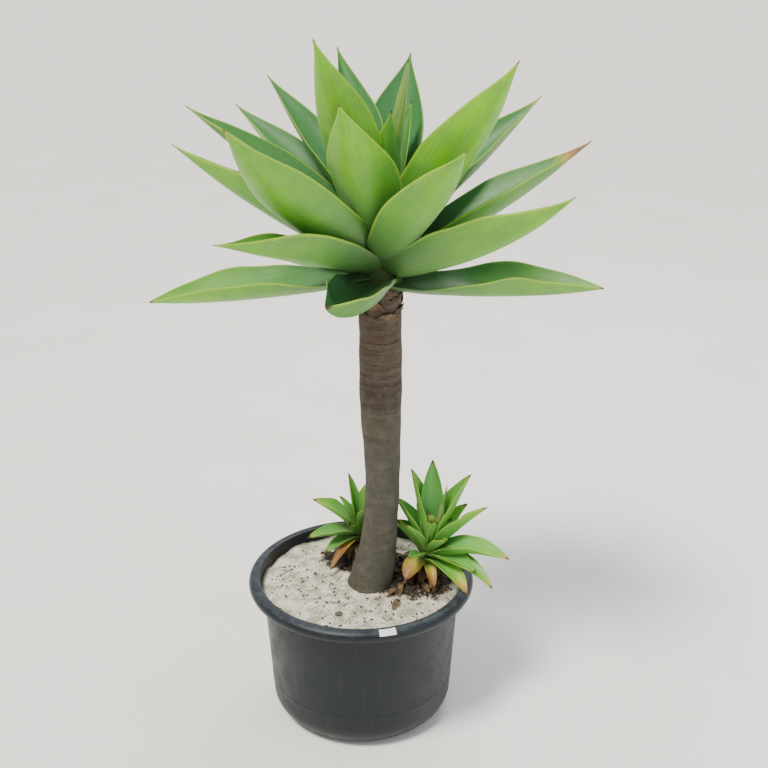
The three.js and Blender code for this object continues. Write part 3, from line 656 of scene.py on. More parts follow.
# %% [markdown]
# ## Bark
# The trunk is what old leaves leave behind: each one dries, is pulled off, and leaves a crescent scar round
# part of the stem. The skin between is thin, grey-brown, corky and finely cracked, redder where the leaves
# came off last. Scars are real relief on the mesh; the material darkens them and adds the cork's fine grain.
# Cork is rough all over, with no shine.
# %% The bark material
def bark(name, fresh, weathered, groove):
    material, tree, shader = new_material(name)
    place = add(tree, "TexCoord", {})["Object"]
    scar = add(tree, "Attribute", {}, attribute_name="scar")["Fac"]
    age = add(tree, "Attribute", {}, attribute_name="age")["Fac"]
    band = add(tree, "Attribute", {}, attribute_name="band")["Fac"]
    leafy = add(tree, "Attribute", {}, attribute_name="leafy")["Fac"]
    flat = add(tree, "Mapping", {"Vector": place, "Scale": (1, 1, 5)})[0]
    patches = add(
        tree, "TexNoise", {"Vector": place, "Scale": 1 / (28 * MM), "Detail": 5.0, "Roughness": 0.65}
    )[0]
    streaks = add(
        tree, "TexNoise", {"Vector": flat, "Scale": 1 / (9 * MM), "Detail": 6.0, "Roughness": 0.7}
    )[0]
    grain = add(
        tree, "TexNoise", {"Vector": place, "Scale": 1 / (1.8 * MM), "Detail": 4.0, "Roughness": 0.7}
    )[0]
    base = add(tree, "Mix", {0: age, 6: fresh, 7: weathered}, **ON_COLOURS)[2]
    calm = add(
        tree, "MapRange", {"Value": age, "From Min": 0.0, "From Max": 1.0, "To Min": 1.0, "To Max": 0.3},
        **SOFT_ENDS,
    )[0]
    share = add(
        tree, "MapRange", {"Value": band, "From Min": 0.45, "From Max": 1.0, "To Max": 0.22}, **SOFT_ENDS
    )[0]
    pale_bands = add(tree, "Math", {0: share, 1: calm}, operation="MULTIPLY")[0]
    share = add(
        tree, "MapRange", {"Value": band, "From Min": 0.0, "From Max": 0.4, "To Min": 0.4, "To Max": 0.0},
        **SOFT_ENDS,
    )[0]
    dark_bands = add(tree, "Math", {0: share, 1: calm}, operation="MULTIPLY")[0]
    base = add(tree, "Mix", {0: pale_bands, 6: base, 7: "#756953"}, **ON_COLOURS)[2]
    base = add(tree, "Mix", {0: dark_bands, 6: base, 7: groove}, **ON_COLOURS)[2]
    share = add(
        tree, "MapRange", {"Value": patches, "From Min": 0.42, "From Max": 0.68, "To Max": 0.6},
        **SOFT_ENDS,
    )[0]
    base = add(tree, "Mix", {0: share, 6: base, 7: "#5b584b"}, **ON_COLOURS)[2]
    share = add(
        tree, "MapRange", {"Value": streaks, "From Min": 0.5, "From Max": 0.72, "To Max": 0.65},
        **SOFT_ENDS,
    )[0]
    dark_streaks = add(tree, "Math", {0: share, 1: calm}, operation="MULTIPLY")[0]
    base = add(tree, "Mix", {0: dark_streaks, 6: base, 7: groove}, **ON_COLOURS)[2]
    share = add(
        tree, "MapRange", {"Value": grain, "From Min": 0.55, "From Max": 0.8, "To Max": 0.35}, **SOFT_ENDS
    )[0]
    base = add(tree, "Mix", {0: share, 6: base, 7: "#766b58"}, **ON_COLOURS)[2]
    share = add(
        tree, "MapRange", {"Value": scar, "From Min": 0.15, "From Max": 0.8, "To Max": 0.85}, **SOFT_ENDS
    )[0]
    base = add(tree, "Mix", {0: share, 6: base, 7: groove}, **ON_COLOURS)[2]
    upright = add(tree, "Mapping", {"Vector": place, "Scale": (1, 1, 0.12)})[0]
    cracks = add(tree, "TexNoise", {"Vector": upright, "Scale": 1 / (4 * MM), "Detail": 3.0})[0]
    share = add(tree, "MapRange", {"Value": cracks, "From Min": 0.56, "From Max": 0.68}, **SOFT_ENDS)[0]
    old_cracks = add(tree, "Math", {0: share, 1: age}, operation="MULTIPLY")[0]
    share = add(
        tree, "MapRange", {"Value": old_cracks, "From Min": 0.0, "From Max": 1.0, "To Max": 0.2},
        **SOFT_ENDS,
    )[0]
    base = add(tree, "Mix", {0: share, 6: base, 7: groove}, **ON_COLOURS)[2]
    base = add(tree, "Mix", {0: leafy, 6: base, 7: "#4c5a2a"}, **ON_COLOURS)[2]
    rough = add(
        tree, "MapRange",
        {"Value": grain, "From Min": 0.2, "From Max": 0.8, "To Min": 0.78, "To Max": 0.95}, **SOFT_ENDS,
    )[0]
    relief = add(tree, "Math", {0: grain, 1: 0.4, 2: streaks}, operation="MULTIPLY_ADD")[0]
    relief = add(tree, "Math", {0: old_cracks, 1: -0.5, 2: relief}, operation="MULTIPLY_ADD")[0]
    connect(tree, shader, base, rough, relief, 1.1 * MM, 0.8)
    return material


trunk_bark = bark("leaf_scarred_bark", "#4d3a2c", "#454339", "#1c150f")
print("bark:", trunk_bark.name)

# %% [markdown]
# ## The trunk
# A cylinder with a bump map would give a smooth outline, and the scars show in the outline. So the trunk is a
# fine grid of rings, and every scar line is pressed into it: scars lie about 7 mm apart, each one tilts its
# own way and fades round the back, as the golden angle turns it. The same sum is kept as a field, so the
# material knows where a scar is.
# %% Build the trunk
TRUNK_AROUND = 112
TRUNK_STEP = 1.5 * MM
SCAR_GAP = 7.2 * MM


def scarred_stem(node, rows, high, gap, depth, around, step, ageing):
    "A stem with crescent scars pressed in: rows give its line and radius, ageing where its bark turns old."
    low = rows[0, 0]
    z = np.arange(low, high, step)
    z = np.append(z, high)
    line = through(rows, z)
    theta = np.linspace(0, 2 * math.pi, around, endpoint=False)
    zz, tt = np.meshgrid(z, theta, indexing="ij")
    scar = np.zeros_like(zz)
    swell = np.zeros_like(zz)
    band = np.full_like(zz, 0.5)
    dice = random.Random(node)
    for k in range(int((high - low) / gap) + 3):
        turn = math.radians(k * GOLDEN_ANGLE)
        tilt, strength = gap * dice.uniform(0.1, 0.4), dice.uniform(0.45, 1)
        wobble = gap * 0.1 * np.sin(3 * tt + dice.uniform(0, 6))
        wobble = wobble + gap * 0.06 * np.sin(7 * tt + dice.uniform(0, 6))
        level = low + (k - 0.5) * gap + dice.uniform(-0.22, 0.22) * gap
        away = zz - (level + tilt * np.cos(tt - turn) + wobble)
        facing = 0.45 + 0.55 * np.clip(np.cos(tt - turn) * 0.5 + 0.6, 0, 1)
        scar = np.maximum(scar, strength * facing * np.exp(-((away / (gap * 0.13)) ** 2)))
        band = np.where(away > 0, dice.random(), band)
        swell += 0.5 * strength * facing * np.exp(-(((away - gap * 0.3) / (gap * 0.24)) ** 2))
    lumps = 0.9 * np.sin(2 * tt + zz * 31) * np.sin(zz * 47 + 1) + 0.7 * np.sin(3 * tt - zz * 23 + 2)
    age = 1 - smooth_step(zz, *ageing)
    worn = 1 - 0.6 * age
    scar, swell = scar * worn, swell * worn
    radius = line[:, 2:3] + depth * (swell - 1.15 * scar) + depth * 0.9 * lumps
    points = np.stack([line[:, 0:1] + radius * np.cos(tt), line[:, 1:2] + radius * np.sin(tt), zz], axis=2)
    fields = {
        "scar": scar.ravel(),
        "band": band.ravel(),
        "age": age.ravel(),
        "leafy": smooth_step(zz, crown_height - 8 * MM, crown_height + 6 * MM).ravel(),
    }
    faces = ring_faces(len(z), around) + caps(len(z), around)
    return piece(node, points.reshape(-1, 3), faces, trunk_bark, "bark", [node], fields)


trunk = scarred_stem(
    "trunk", trunk_rows, trunk_top, SCAR_GAP, 1.25 * MM, TRUNK_AROUND, TRUNK_STEP,
    (soil_top + 0.25, soil_top + 0.6),
)
for name, rows in offset_stems.items():
    low, high = rows[0, 0], rows[-1, 0]
    scarred_stem(f"{name}_stem", rows, high, 5 * MM, 0.6 * MM, 40, 1.2 * MM, (low, high))
scars = round((trunk_top - trunk_rows[0, 0]) / SCAR_GAP)
print("trunk:", len(trunk.data.vertices), "points,", scars, "scars")

# %% [markdown]
# ## Dry leaf bases
# Right under the crown the last leaves came off unevenly, and their torn, papery bases still clasp the trunk.
# Each is a thin curved flake, wider than tall, that lifts away from the stem at its ragged top edge. They are
# made as small curved sheets with thickness, placed round the trunk by the golden angle.
# %% The dry leaf material
def dry_leaf(name, pale, dark):
    material, tree, shader = new_material(name)
    place = add(tree, "TexCoord", {})["Object"]
    fibres = add(tree, "Mapping", {"Vector": place, "Scale": (1, 1, 0.16)})[0]
    strands = add(tree, "TexNoise", {"Vector": fibres, "Scale": 1 / (1.5 * MM), "Detail": 3.0})[0]
    patches = add(tree, "TexNoise", {"Vector": place, "Scale": 1 / (14 * MM), "Detail": 4.0})[0]
    share = add(tree, "MapRange", {"Value": patches, "From Min": 0.35, "From Max": 0.65}, **SOFT_ENDS)[0]
    base = add(tree, "Mix", {0: share, 6: dark, 7: pale}, **ON_COLOURS)[2]
    share = add(
        tree, "MapRange", {"Value": strands, "From Min": 0.45, "From Max": 0.7, "To Max": 0.5}, **SOFT_ENDS
    )[0]
    base = add(tree, "Mix", {0: share, 6: base, 7: "#22170f"}, **ON_COLOURS)[2]
    rough = add(
        tree, "MapRange",
        {"Value": strands, "From Min": 0.3, "From Max": 0.7, "To Min": 0.7, "To Max": 0.9}, **SOFT_ENDS,
    )[0]
    connect(tree, shader, base, rough, strands, 0.6 * MM, 0.8)
    return material


dry_base = dry_leaf("dried_leaf_base", "#6d543b", "#33241a")
print("dry leaf:", dry_base.name)


# %% [markdown]
# ## Flakes round the trunk
# Sixteen flakes stand in a spiral under the crown. A flake is a stack of rings: its outer and inner face
# follow the trunk at its foot and leave it towards the torn top.
# %% Build the dry leaf bases
def flake(z, turn, wide, tall, lift):
    """Rings of one clasping flake: a curved sheet, thick at its foot and ragged at its top."""
    steps, rows = 13, 6
    points = []
    for k in range(rows):
        t = k / (rows - 1)
        outer, inner = [], []
        for i in range(steps):
            u = i / (steps - 1) * 2 - 1
            ragged = 1 + 0.3 * noise.noise(Vector((u * 3, turn, z * 40))) * t
            height = tall * t * (1 - 0.75 * u * u) * ragged
            x, y, radius = through(trunk_rows, z + height)[0]
            angle = turn + u * wide * (1 - 0.25 * t)
            out = radius + lift * t * t * (1 - 0.4 * u * u) + 0.4 * MM
            thick = lerp(2.4, 0.7, t) * MM * (1 - 0.7 * u * u)
            for into, r in ((outer, out + thick), (inner, out - 2 * MM * (1 - t))):
                into.append((x + r * math.sin(angle), y - r * math.cos(angle), z + height))
        points.append(outer + inner[::-1])
    return np.array(points)


def many_lofts(name, lofts, material, slot):
    """Joins several ring-built scraps, each closed at both ends, into one piece."""
    points, faces, start = [], [], 0
    for rings in lofts:
        count, around = rings.shape[:2]
        points.append(rings.reshape(-1, 3))
        faces += ring_faces(count, around, start=start) + caps(count, around, start)
        start += count * around
    return piece(name, np.concatenate(points), faces, material, slot)


dice = random.Random(11)
flakes = []
for k in range(16):
    z = crown_height - lerp(66, 6, k / 15) * MM
    turn = math.radians(k * GOLDEN_ANGLE + 20)
    wide, tall, lift = dice.uniform(0.5, 0.9), dice.uniform(11, 22) * MM, dice.uniform(2, 8) * MM
    flakes.append(flake(z, turn, wide, tall, lift))
many_lofts("dry_leaf_bases", flakes, dry_base, "bark")
print("dry bases:", len(flakes), "flakes")

# %% [markdown]
# ## Moulded polyethylene
# The pot is injection-moulded high-density polyethylene, black with a blue cast. The mould leaves a fine
# orange-peel texture that blurs its highlights, and a season outdoors adds dust, water marks low on the wall
# and pale scuffs on the rim's outer curve. Its IOR is about 1.5. Dust gathers on whatever faces up, so the
# material reads the surface's own normal for it; the same pale blue-grey on the rim's top is also a painted
# sheen of the sky.
# %% The pot material
def moulded_polyethylene():
    material, tree, shader = new_material("moulded_polyethylene")
    place = add(tree, "TexCoord", {})["Object"]
    facing = add(tree, "SeparateXYZ", {0: add(tree, "NewGeometry", {})["Normal"]})["Z"]
    height = add(tree, "SeparateXYZ", {0: place})["Z"]
    peel = add(tree, "TexNoise", {"Vector": place, "Scale": 1 / (1.6 * MM), "Detail": 2.0})[0]
    dust = add(
        tree, "TexNoise", {"Vector": place, "Scale": 1 / (40 * MM), "Detail": 7.0, "Roughness": 0.7}
    )[0]
    runs = add(tree, "Mapping", {"Vector": place, "Scale": (1, 1, 0.09)})[0]
    marks = add(tree, "TexNoise", {"Vector": runs, "Scale": 1 / (13 * MM), "Detail": 4.0})[0]
    share = add(
        tree, "MapRange", {"Value": dust, "From Min": 0.35, "From Max": 0.75, "To Max": 0.3}, **SOFT_ENDS
    )[0]
    base = add(tree, "Mix", {0: share, 6: "#0a1219", 7: "#17222b"}, **ON_COLOURS)[2]
    share = add(
        tree, "MapRange", {"Value": marks, "From Min": 0.58, "From Max": 0.78, "To Max": 0.12}, **SOFT_ENDS
    )[0]
    base = add(tree, "Mix", {0: share, 6: base, 7: "#4a4c49"}, **ON_COLOURS)[2]
    # Dust and painted sheen: faces that look up turn pale blue-grey. This stands for dust and also for a
    # painted highlight on the rim's top.
    share = add(tree, "MapRange", {"Value": facing, "From Min": 0.25, "From Max": 1.0}, **SOFT_ENDS)[0]
    share_2 = add(tree, "MapRange", {"Value": dust, "From Min": 0.1, "From Max": 0.9}, **SOFT_ENDS)[0]
    dust_and_painted_sheen = add(tree, "Math", {0: share, 1: share_2}, operation="MULTIPLY")[0]
    share = add(
        tree, "MapRange", {"Value": dust_and_painted_sheen, "From Min": 0.0, "From Max": 1.0, "To Max": 0.3}, **SOFT_ENDS
    )[0]
    base = add(tree, "Mix", {0: share, 6: base, 7: "#727c88"}, **ON_COLOURS)[2]
    share = add(
        tree, "MapRange",
        {"Value": height, "From Min": 0.01, "From Max": 0.11, "To Min": 1.0, "To Max": 0.0}, **SOFT_ENDS,
    )[0]
    splash = add(tree, "Math", {0: share, 1: dust}, operation="MULTIPLY")[0]
    share = add(
        tree, "MapRange", {"Value": splash, "From Min": 0.15, "From Max": 0.7, "To Max": 0.2}, **SOFT_ENDS
    )[0]
    base = add(tree, "Mix", {0: share, 6: base, 7: "#4f4a41"}, **ON_COLOURS)[2]
    scratches = add(tree, "Mapping", {"Vector": place, "Scale": (0.25, 0.25, 3)})[0]
    scuffs = add(
        tree, "TexNoise", {"Vector": scratches, "Scale": 1 / (5 * MM), "Detail": 3.0, "Roughness": 0.8}
    )[0]
    share = add(
        tree, "MapRange", {"Value": scuffs, "From Min": 0.66, "From Max": 0.78, "To Max": 0.2}, **SOFT_ENDS
    )[0]
    base = add(tree, "Mix", {0: share, 6: base, 7: "#585d60"}, **ON_COLOURS)[2]
    rough = add(
        tree, "MapRange", {"Value": dust, "From Min": 0.3, "From Max": 0.8, "To Min": 0.36, "To Max": 0.6},
        **SOFT_ENDS,
    )[0]
    connect(tree, shader, base, rough, peel, 0.12 * MM, 0.5)
    shader.inputs["IOR"].default_value = 1.5
    shader.inputs["Specular IOR Level"].default_value = 0.36
    return material


polyethylene = moulded_polyethylene()
print("pot plastic:", polyethylene.name)

# %% [markdown]
# ## The pot
# The pot is one turned profile: a flat floor with a rounded foot, a slightly flared wall, a shoulder, and a
# fat roll at the rim. It is turned with 160 steps, so its outline reads as a true circle. A shallow bead from
# the mould runs round the wall. The six drain holes are cut with a boolean, which is then applied.
# %% Build the pot
POT_WALL, POT_FLOOR, FOOT_ROUNDING = 4, 5, 52
POT_TOP_RADIUS, POT_FOOT_RADIUS = 213, 198
RIM_REACH, RIM_STEP, RIM_DROP = 32, 12, 27
DRAIN_HOLES, DRAIN_CIRCLE, DRAIN_RADIUS = 6, 122, 7
TURN_STEPS = 160
pot_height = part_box("pot")[1].z / MM
wall_top = soil_top / MM
rim_radius = POT_TOP_RADIUS + RIM_REACH
mouth_radius = POT_TOP_RADIUS - POT_WALL + RIM_STEP
roll = RIM_DROP / 2


def arc(r, z, radius, start, end, steps):
    angles = np.radians(np.linspace(start, end, steps + 1))
    return [(r + radius * math.cos(a), z + radius * math.sin(a)) for a in angles]


def wall_radius(z):
    return lerp(POT_FOOT_RADIUS, POT_TOP_RADIUS, (z - FOOT_ROUNDING) / (wall_top - FOOT_ROUNDING))


def outer_wall():
    """The wall's outside from the foot up, with a shallow moulded bead low down."""
    rows = []
    for z in np.arange(FOOT_ROUNDING + 4, wall_top - 4, 3.0):
        bead = 0.7 * math.exp(-(((z - 84) / 4) ** 2))
        rows.append((wall_radius(z) + bead, z))
    return rows


def shoulder(reach, top):
    """The wall's outside above the wall proper: it curves out to reach at the height top."""
    return [(lerp(POT_TOP_RADIUS, reach, t**1.8), lerp(wall_top, top, t)) for t in np.linspace(0.1, 1, 9)]


def pot_profile():
    """Radius and height of the pot's outline, from the underside's middle over the rim to the floor's."""
    inner_foot = FOOT_ROUNDING - POT_WALL
    foot = POT_FOOT_RADIUS - FOOT_ROUNDING
    corner = mouth_radius + POT_WALL
    under_rim = pot_height - RIM_DROP
    return [
        *[(r, 0) for r in (40, 80, 105, 135)],
        *arc(foot, FOOT_ROUNDING, FOOT_ROUNDING, -90, 0, 12),
        *outer_wall(),
        (POT_TOP_RADIUS, wall_top),
        *shoulder(corner + 3, under_rim),
        (rim_radius - roll - 2, under_rim),
        *arc(rim_radius - roll, pot_height - roll, roll, -84, 90, 18),
        *[(r, pot_height) for r in (rim_radius - roll - 3, mouth_radius + 5)],
        *arc(mouth_radius + 3, pot_height - 3, 3, 90, 180, 5)[1:],
        (mouth_radius, pot_height - RIM_DROP),
        (POT_TOP_RADIUS - POT_WALL, wall_top),
        *[(wall_radius(z) - POT_WALL, z) for z in (220, 150, 90)],
        *arc(foot, POT_FLOOR + inner_foot, inner_foot, 0, -90, 6),
        *[(r, POT_FLOOR) for r in (135, 105, 80, 40)],
    ]


def turned(profile):
    """Points and faces of a profile turned round Z, in metres; both ends close on the axis."""
    angles = np.linspace(0, 2 * math.pi, TURN_STEPS, endpoint=False)
    rings = [[(r * MM * math.cos(a), r * MM * math.sin(a), z * MM) for a in angles] for r, z in profile]
    points = np.array(rings).reshape(-1, 3)
    faces = ring_faces(len(profile), TURN_STEPS)
    middle = len(points)
    points = np.concatenate([points, [(0, 0, profile[0][1] * MM), (0, 0, profile[-1][1] * MM)]])
    faces += fan(0, TURN_STEPS, middle) + fan((len(profile) - 1) * TURN_STEPS, TURN_STEPS, middle + 1)
    return points, faces


pot = piece("pot", *turned(pot_profile()), polyethylene, "pot", ["pot"])
drill_shape = bmesh.new()
for k in range(DRAIN_HOLES):
    turn = 2 * math.pi * k / DRAIN_HOLES
    spot = Matrix.Translation((DRAIN_CIRCLE * MM * math.sin(turn), -DRAIN_CIRCLE * MM * math.cos(turn), 0))
    drill_size = dict(radius1=DRAIN_RADIUS * MM, radius2=DRAIN_RADIUS * MM, depth=4 * POT_FLOOR * MM)
    bmesh.ops.create_cone(drill_shape, cap_ends=True, segments=32, matrix=spot, **drill_size)
drill_mesh = bpy.data.meshes.new("drill")
drill_shape.to_mesh(drill_mesh)
drill_shape.free()
drill = bpy.data.objects.new("drill", drill_mesh)
bpy.context.scene.collection.objects.link(drill)
cut = pot.modifiers.new("drain_holes", "BOOLEAN")
cut.operation, cut.object, cut.solver = "DIFFERENCE", drill, "EXACT"
drilled = bpy.data.meshes.new_from_object(pot.evaluated_get(bpy.context.evaluated_depsgraph_get()))
pot.modifiers.clear()
pot.data = drilled
bpy.data.objects.remove(drill)
print("pot:", len(pot.data.polygons), "faces,", round(pot.dimensions.x / MM), "mm across the rim")

# %% [markdown]
# ## The label
# A small blank paper sticker sits on the front of the roll. Paper is matt, faintly fibrous and never quite
# flat: one corner has begun to lift. It is a thin sheet that follows the roll, so it is lofted, not
# projected.
# %% The paper material and the label
def coated_paper():
    material, tree, shader = new_material("coated_label_paper")
    place = add(tree, "TexCoord", {})["Object"]
    fibre = add(tree, "TexNoise", {"Vector": place, "Scale": 1 / (0.9 * MM), "Detail": 4.0})[0]
    grime = add(tree, "TexNoise", {"Vector": place, "Scale": 1 / (11 * MM), "Detail": 5.0})[0]
    share = add(
        tree, "MapRange", {"Value": grime, "From Min": 0.45, "From Max": 0.75, "To Max": 0.35}, **SOFT_ENDS
    )[0]
    base = add(tree, "Mix", {0: share, 6: "#f1f1ee", 7: "#c9c8c0"}, **ON_COLOURS)[2]
    rough = add(
        tree, "MapRange", {"Value": fibre, "From Min": 0.3, "From Max": 0.7, "To Min": 0.55, "To Max": 0.7},
        **SOFT_ENDS,
    )[0]
    connect(tree, shader, base, rough, fibre, 0.05 * MM, 0.5)
    return material


def make_label():
    turn, tilt, wide, tall, thick = 14, 60, 36, 16, 0.4
    steps_across, steps_up = 24, 10
    rings = []
    for i in range(steps_across + 1):
        u = i / steps_across * 2 - 1
        angle = math.radians(turn) + u * wide / 2 / rim_radius
        face, back = [], []
        for k in range(steps_up + 1):
            v = k / steps_up * 2 - 1
            lifted = 1.3 * max(0, u + v - 1.1) ** 2
            around = math.radians(tilt) + v * tall / 2 / roll
            for into, away in ((back, 0.3), (face, 0.3 + thick)):
                r = rim_radius - roll + (roll + away + lifted) * math.cos(around)
                z = pot_height - roll + (roll + away + lifted) * math.sin(around)
                into.append((r * MM * math.sin(angle), -r * MM * math.cos(angle), z * MM))
        rings.append(face + back[::-1])
    rings = np.array(rings)
    around = rings.shape[1]
    faces = ring_faces(len(rings), around) + caps(len(rings), around)
    return piece("plant_label", rings.reshape(-1, 3), faces, coated_paper(), "label", ["plant_label"])


label = make_label()
print("label:", [round(v / MM) for v in label.dimensions])

# %% [markdown]
# ## Sand and compost
# The top dressing is washed silica sand: angular grains of about 0.7 mm, cream and grey with dark specks,
# trodden into small humps. Under the offsets dark compost and broken bark have worked up through it. Grains
# that small are drawn about 1.5 mm wide so that they show. The ground is one material with a field that says
# how much compost there is, so the two mix grain by grain at their border.
# %% The sand and soil materials
def ground(name, pale, grey, dark, grain_size):
    material, tree, shader = new_material(name)
    place = add(tree, "TexCoord", {})["Object"]
    compost = add(tree, "Attribute", {}, attribute_name="compost")["Fac"]
    grains = add(tree, "TexVoronoi", {"Vector": place, "Scale": 1 / grain_size})
    fleck = add(tree, "SeparateColor", {0: grains["Color"]})
    damp = add(
        tree, "TexNoise", {"Vector": place, "Scale": 1 / (34 * MM), "Detail": 6.0, "Roughness": 0.65}
    )[0]
    clods = add(
        tree, "TexNoise", {"Vector": place, "Scale": 1 / (7 * MM), "Detail": 6.0, "Roughness": 0.7}
    )[0]
    share = add(tree, "MapRange", {"Value": damp, "From Min": 0.4, "From Max": 0.62}, **SOFT_ENDS)[0]
    base = add(tree, "Mix", {0: share, 6: pale, 7: grey}, **ON_COLOURS)[2]
    share = add(
        tree, "MapRange", {"Value": fleck["Red"], "From Min": 0.45, "From Max": 1.0, "To Max": 0.7},
        **SOFT_ENDS,
    )[0]
    base = add(tree, "Mix", {0: share, 6: base, 7: "#f6eedc"}, **ON_COLOURS)[2]
    share = add(
        tree, "MapRange", {"Value": fleck["Green"], "From Min": 0.78, "From Max": 0.88, "To Max": 0.8},
        **SOFT_ENDS,
    )[0]
    base = add(tree, "Mix", {0: share, 6: base, 7: "#5f5443"}, **ON_COLOURS)[2]
    old_litter = add(
        tree, "TexNoise", {"Vector": place, "Scale": 1 / (55 * MM), "Detail": 8.0, "Roughness": 0.75}
    )[0]
    share = add(
        tree, "MapRange", {"Value": old_litter, "From Min": 0.56, "From Max": 0.66, "To Max": 0.55},
        **SOFT_ENDS,
    )[0]
    base = add(tree, "Mix", {0: share, 6: base, 7: "#6b5c41"}, **ON_COLOURS)[2]
    mixed = add(tree, "Math", {0: clods, 1: 0.9, 2: compost}, operation="MULTIPLY_ADD")[0]
    share = add(
        tree, "MapRange", {"Value": fleck["Blue"], "From Min": 0.6, "From Max": 1.0}, **SOFT_ENDS
    )[0]
    earth = add(tree, "Mix", {0: share, 6: dark, 7: "#5f5342"}, **ON_COLOURS)[2]
    share = add(tree, "MapRange", {"Value": mixed, "From Min": 0.72, "From Max": 0.92}, **SOFT_ENDS)[0]
    base = add(tree, "Mix", {0: share, 6: base, 7: earth}, **ON_COLOURS)[2]
    rough = add(
        tree, "MapRange",
        {"Value": clods, "From Min": 0.3, "From Max": 0.7, "To Min": 0.86, "To Max": 0.97}, **SOFT_ENDS,
    )[0]
    relief = add(tree, "Math", {0: grains["Distance"], 1: -0.5, 2: clods}, operation="MULTIPLY_ADD")[0]
    connect(tree, shader, base, rough, relief, 2.2 * MM, 0.9)
    return material


silica_sand = ground("silica_sand", "#ece7d6", "#a09b8a", "#1f1710", 1.5 * MM)
potting_mix = ground("potting_mix", "#4a382a", "#2f241c", "#1e1712", 3 * MM)
nodes["potting_soil"].data.materials.clear()
nodes["potting_soil"].data.materials.append(potting_mix)
print("ground:", silica_sand.name, potting_mix.name)

# %% [markdown]
# ## The sand's surface
# The frame's sand is a low mound with gentle waves. The same height formula is sampled on a finer grid, and
# small humps from watering are added on top, a few millimetres at most. The compost field is strongest round
# the two offsets and behind the trunk.
# %% Build the sand
SAND_THICKNESS, SAND_MOUND = 14, 10
SAND_RINGS, SAND_AROUND = 96, 200
trunk_foot = through(trunk_rows, soil_top + 20 * MM)[0][:2]
offset_spots = [rows[0, 1:3] for rows in offset_stems.values()]


def sand_height(x, y):
    """Height of the sand over the soil's top, in metres, from a place in metres."""
    x, y = x / MM, y / MM
    mound = SAND_MOUND * (1 - math.hypot(x, y) / POT_TOP_RADIUS)
    waves = 2.2 * math.sin(x / 31 + 1) * math.cos(y / 27) + 1.3 * math.sin((x + 2 * y) / 23)
    return (SAND_THICKNESS + mound + waves) * MM


def humps(x, y):
    """Trodden relief: broad humps and small clods, banked up a little at the trunk and in the compost."""
    broad = noise.noise(Vector((x / (31 * MM), y / (31 * MM), 3)))
    small = noise.noise(Vector((x / (9 * MM), y / (9 * MM), 8)))
    tiny = noise.noise(Vector((x / (4 * MM), y / (4 * MM), 5)))
    earth = compost_share(x, y)
    at_trunk = math.hypot(x - trunk_foot[0], y - trunk_foot[1]) / MM
    banked = 4 * math.exp(-(((at_trunk - 46) / 16) ** 2)) + 5 * earth * earth
    return (2.0 * broad + 1.3 * small + 0.6 * tiny + 1.5 * earth * small + banked) * MM


COMPOST_REACH = 95 * MM  # from an offset's foot
COMPOST_BANK, BANK_REACH = (0.11, 0.025), 128 * MM  # the middle of a bank on the right, and how far it runs


def compost_share(x, y):
    """How much compost lies at a place: 1 near an offset's foot and in the bank, fading unevenly to none."""
    near = min(math.hypot(x - spot[0], y - spot[1]) for spot in offset_spots)
    banked = math.hypot(x - COMPOST_BANK[0], y - COMPOST_BANK[1])
    share = max(1 - near / COMPOST_REACH, 1 - banked / BANK_REACH)
    return max(0, min(1, share * 1.6 + 0.4 * noise.noise(Vector((x / (25 * MM), y / (25 * MM), 1)))))


def ground_height(x, y):
    return soil_top + sand_height(x, y) + humps(x, y)


sand_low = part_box("sand")[0].z
sand_reach = (wall_radius(wall_top) - POT_WALL - 0.3) * MM
points = [(0, 0, sand_low)]
for k in range(SAND_RINGS + 2):
    share = 1 - max(0, k - 1) / SAND_RINGS
    for i in range(SAND_AROUND):
        angle = 2 * math.pi * i / SAND_AROUND
        r = sand_reach * share
        x, y = r * math.cos(angle), r * math.sin(angle)
        if k == 0:
            points.append((x, y, sand_low))
            continue
        z = ground_height(x, y)
        if k == 1:
            stretch = 1 + (z - soil_top) / MM / 15 * RIM_STEP / (sand_reach / MM)
            x, y = x * stretch, y * stretch
        points.append((x, y, z))
rings = SAND_RINGS + 2
faces = ring_faces(rings, SAND_AROUND, start=1) + fan(1, SAND_AROUND, 0)
fields = {"compost": [compost_share(p[0], p[1]) for p in points]}
sand = piece("sand", points, faces, silica_sand, "sand", ["sand"], fields)
bmesh_sand = bmesh.new()
bmesh_sand.from_mesh(sand.data)
bmesh.ops.remove_doubles(bmesh_sand, verts=bmesh_sand.verts, dist=0.01 * MM)
bmesh_sand.to_mesh(sand.data)
bmesh_sand.free()
print("sand:", len(sand.data.vertices), "points, compost round", len(offset_spots), "offsets")

# %% [markdown]
# ## Litter on the sand
# What makes the top dressing look lived in is what has fallen on it: chips of bark, thin twigs, a few stones
# and scraps of dead leaf. Each kind is one object made of many small closed shapes, scattered by a seeded
# dice so that every run gives the same plant.
# %% The litter materials
def litter(name, pale, dark, grain):
    material, tree, shader = new_material(name)
    place = add(tree, "TexCoord", {})["Object"]
    patches = add(tree, "TexNoise", {"Vector": place, "Scale": 1 / (12 * MM), "Detail": 3.0})[0]
    fine = add(tree, "TexNoise", {"Vector": place, "Scale": 1 / grain, "Detail": 5.0, "Roughness": 0.7})[0]
    share = add(tree, "MapRange", {"Value": patches, "From Min": 0.35, "From Max": 0.65}, **SOFT_ENDS)[0]
    base = add(tree, "Mix", {0: share, 6: dark, 7: pale}, **ON_COLOURS)[2]
    share = add(
        tree, "MapRange", {"Value": fine, "From Min": 0.5, "From Max": 0.75, "To Max": 0.5}, **SOFT_ENDS
    )[0]
    base = add(tree, "Mix", {0: share, 6: base, 7: dark}, **ON_COLOURS)[2]
    rough = add(
        tree, "MapRange", {"Value": fine, "From Min": 0.3, "From Max": 0.7, "To Min": 0.75, "To Max": 0.92},
        **SOFT_ENDS,
    )[0]
    connect(tree, shader, base, rough, fine, 0.5 * MM, 0.7)
    return material


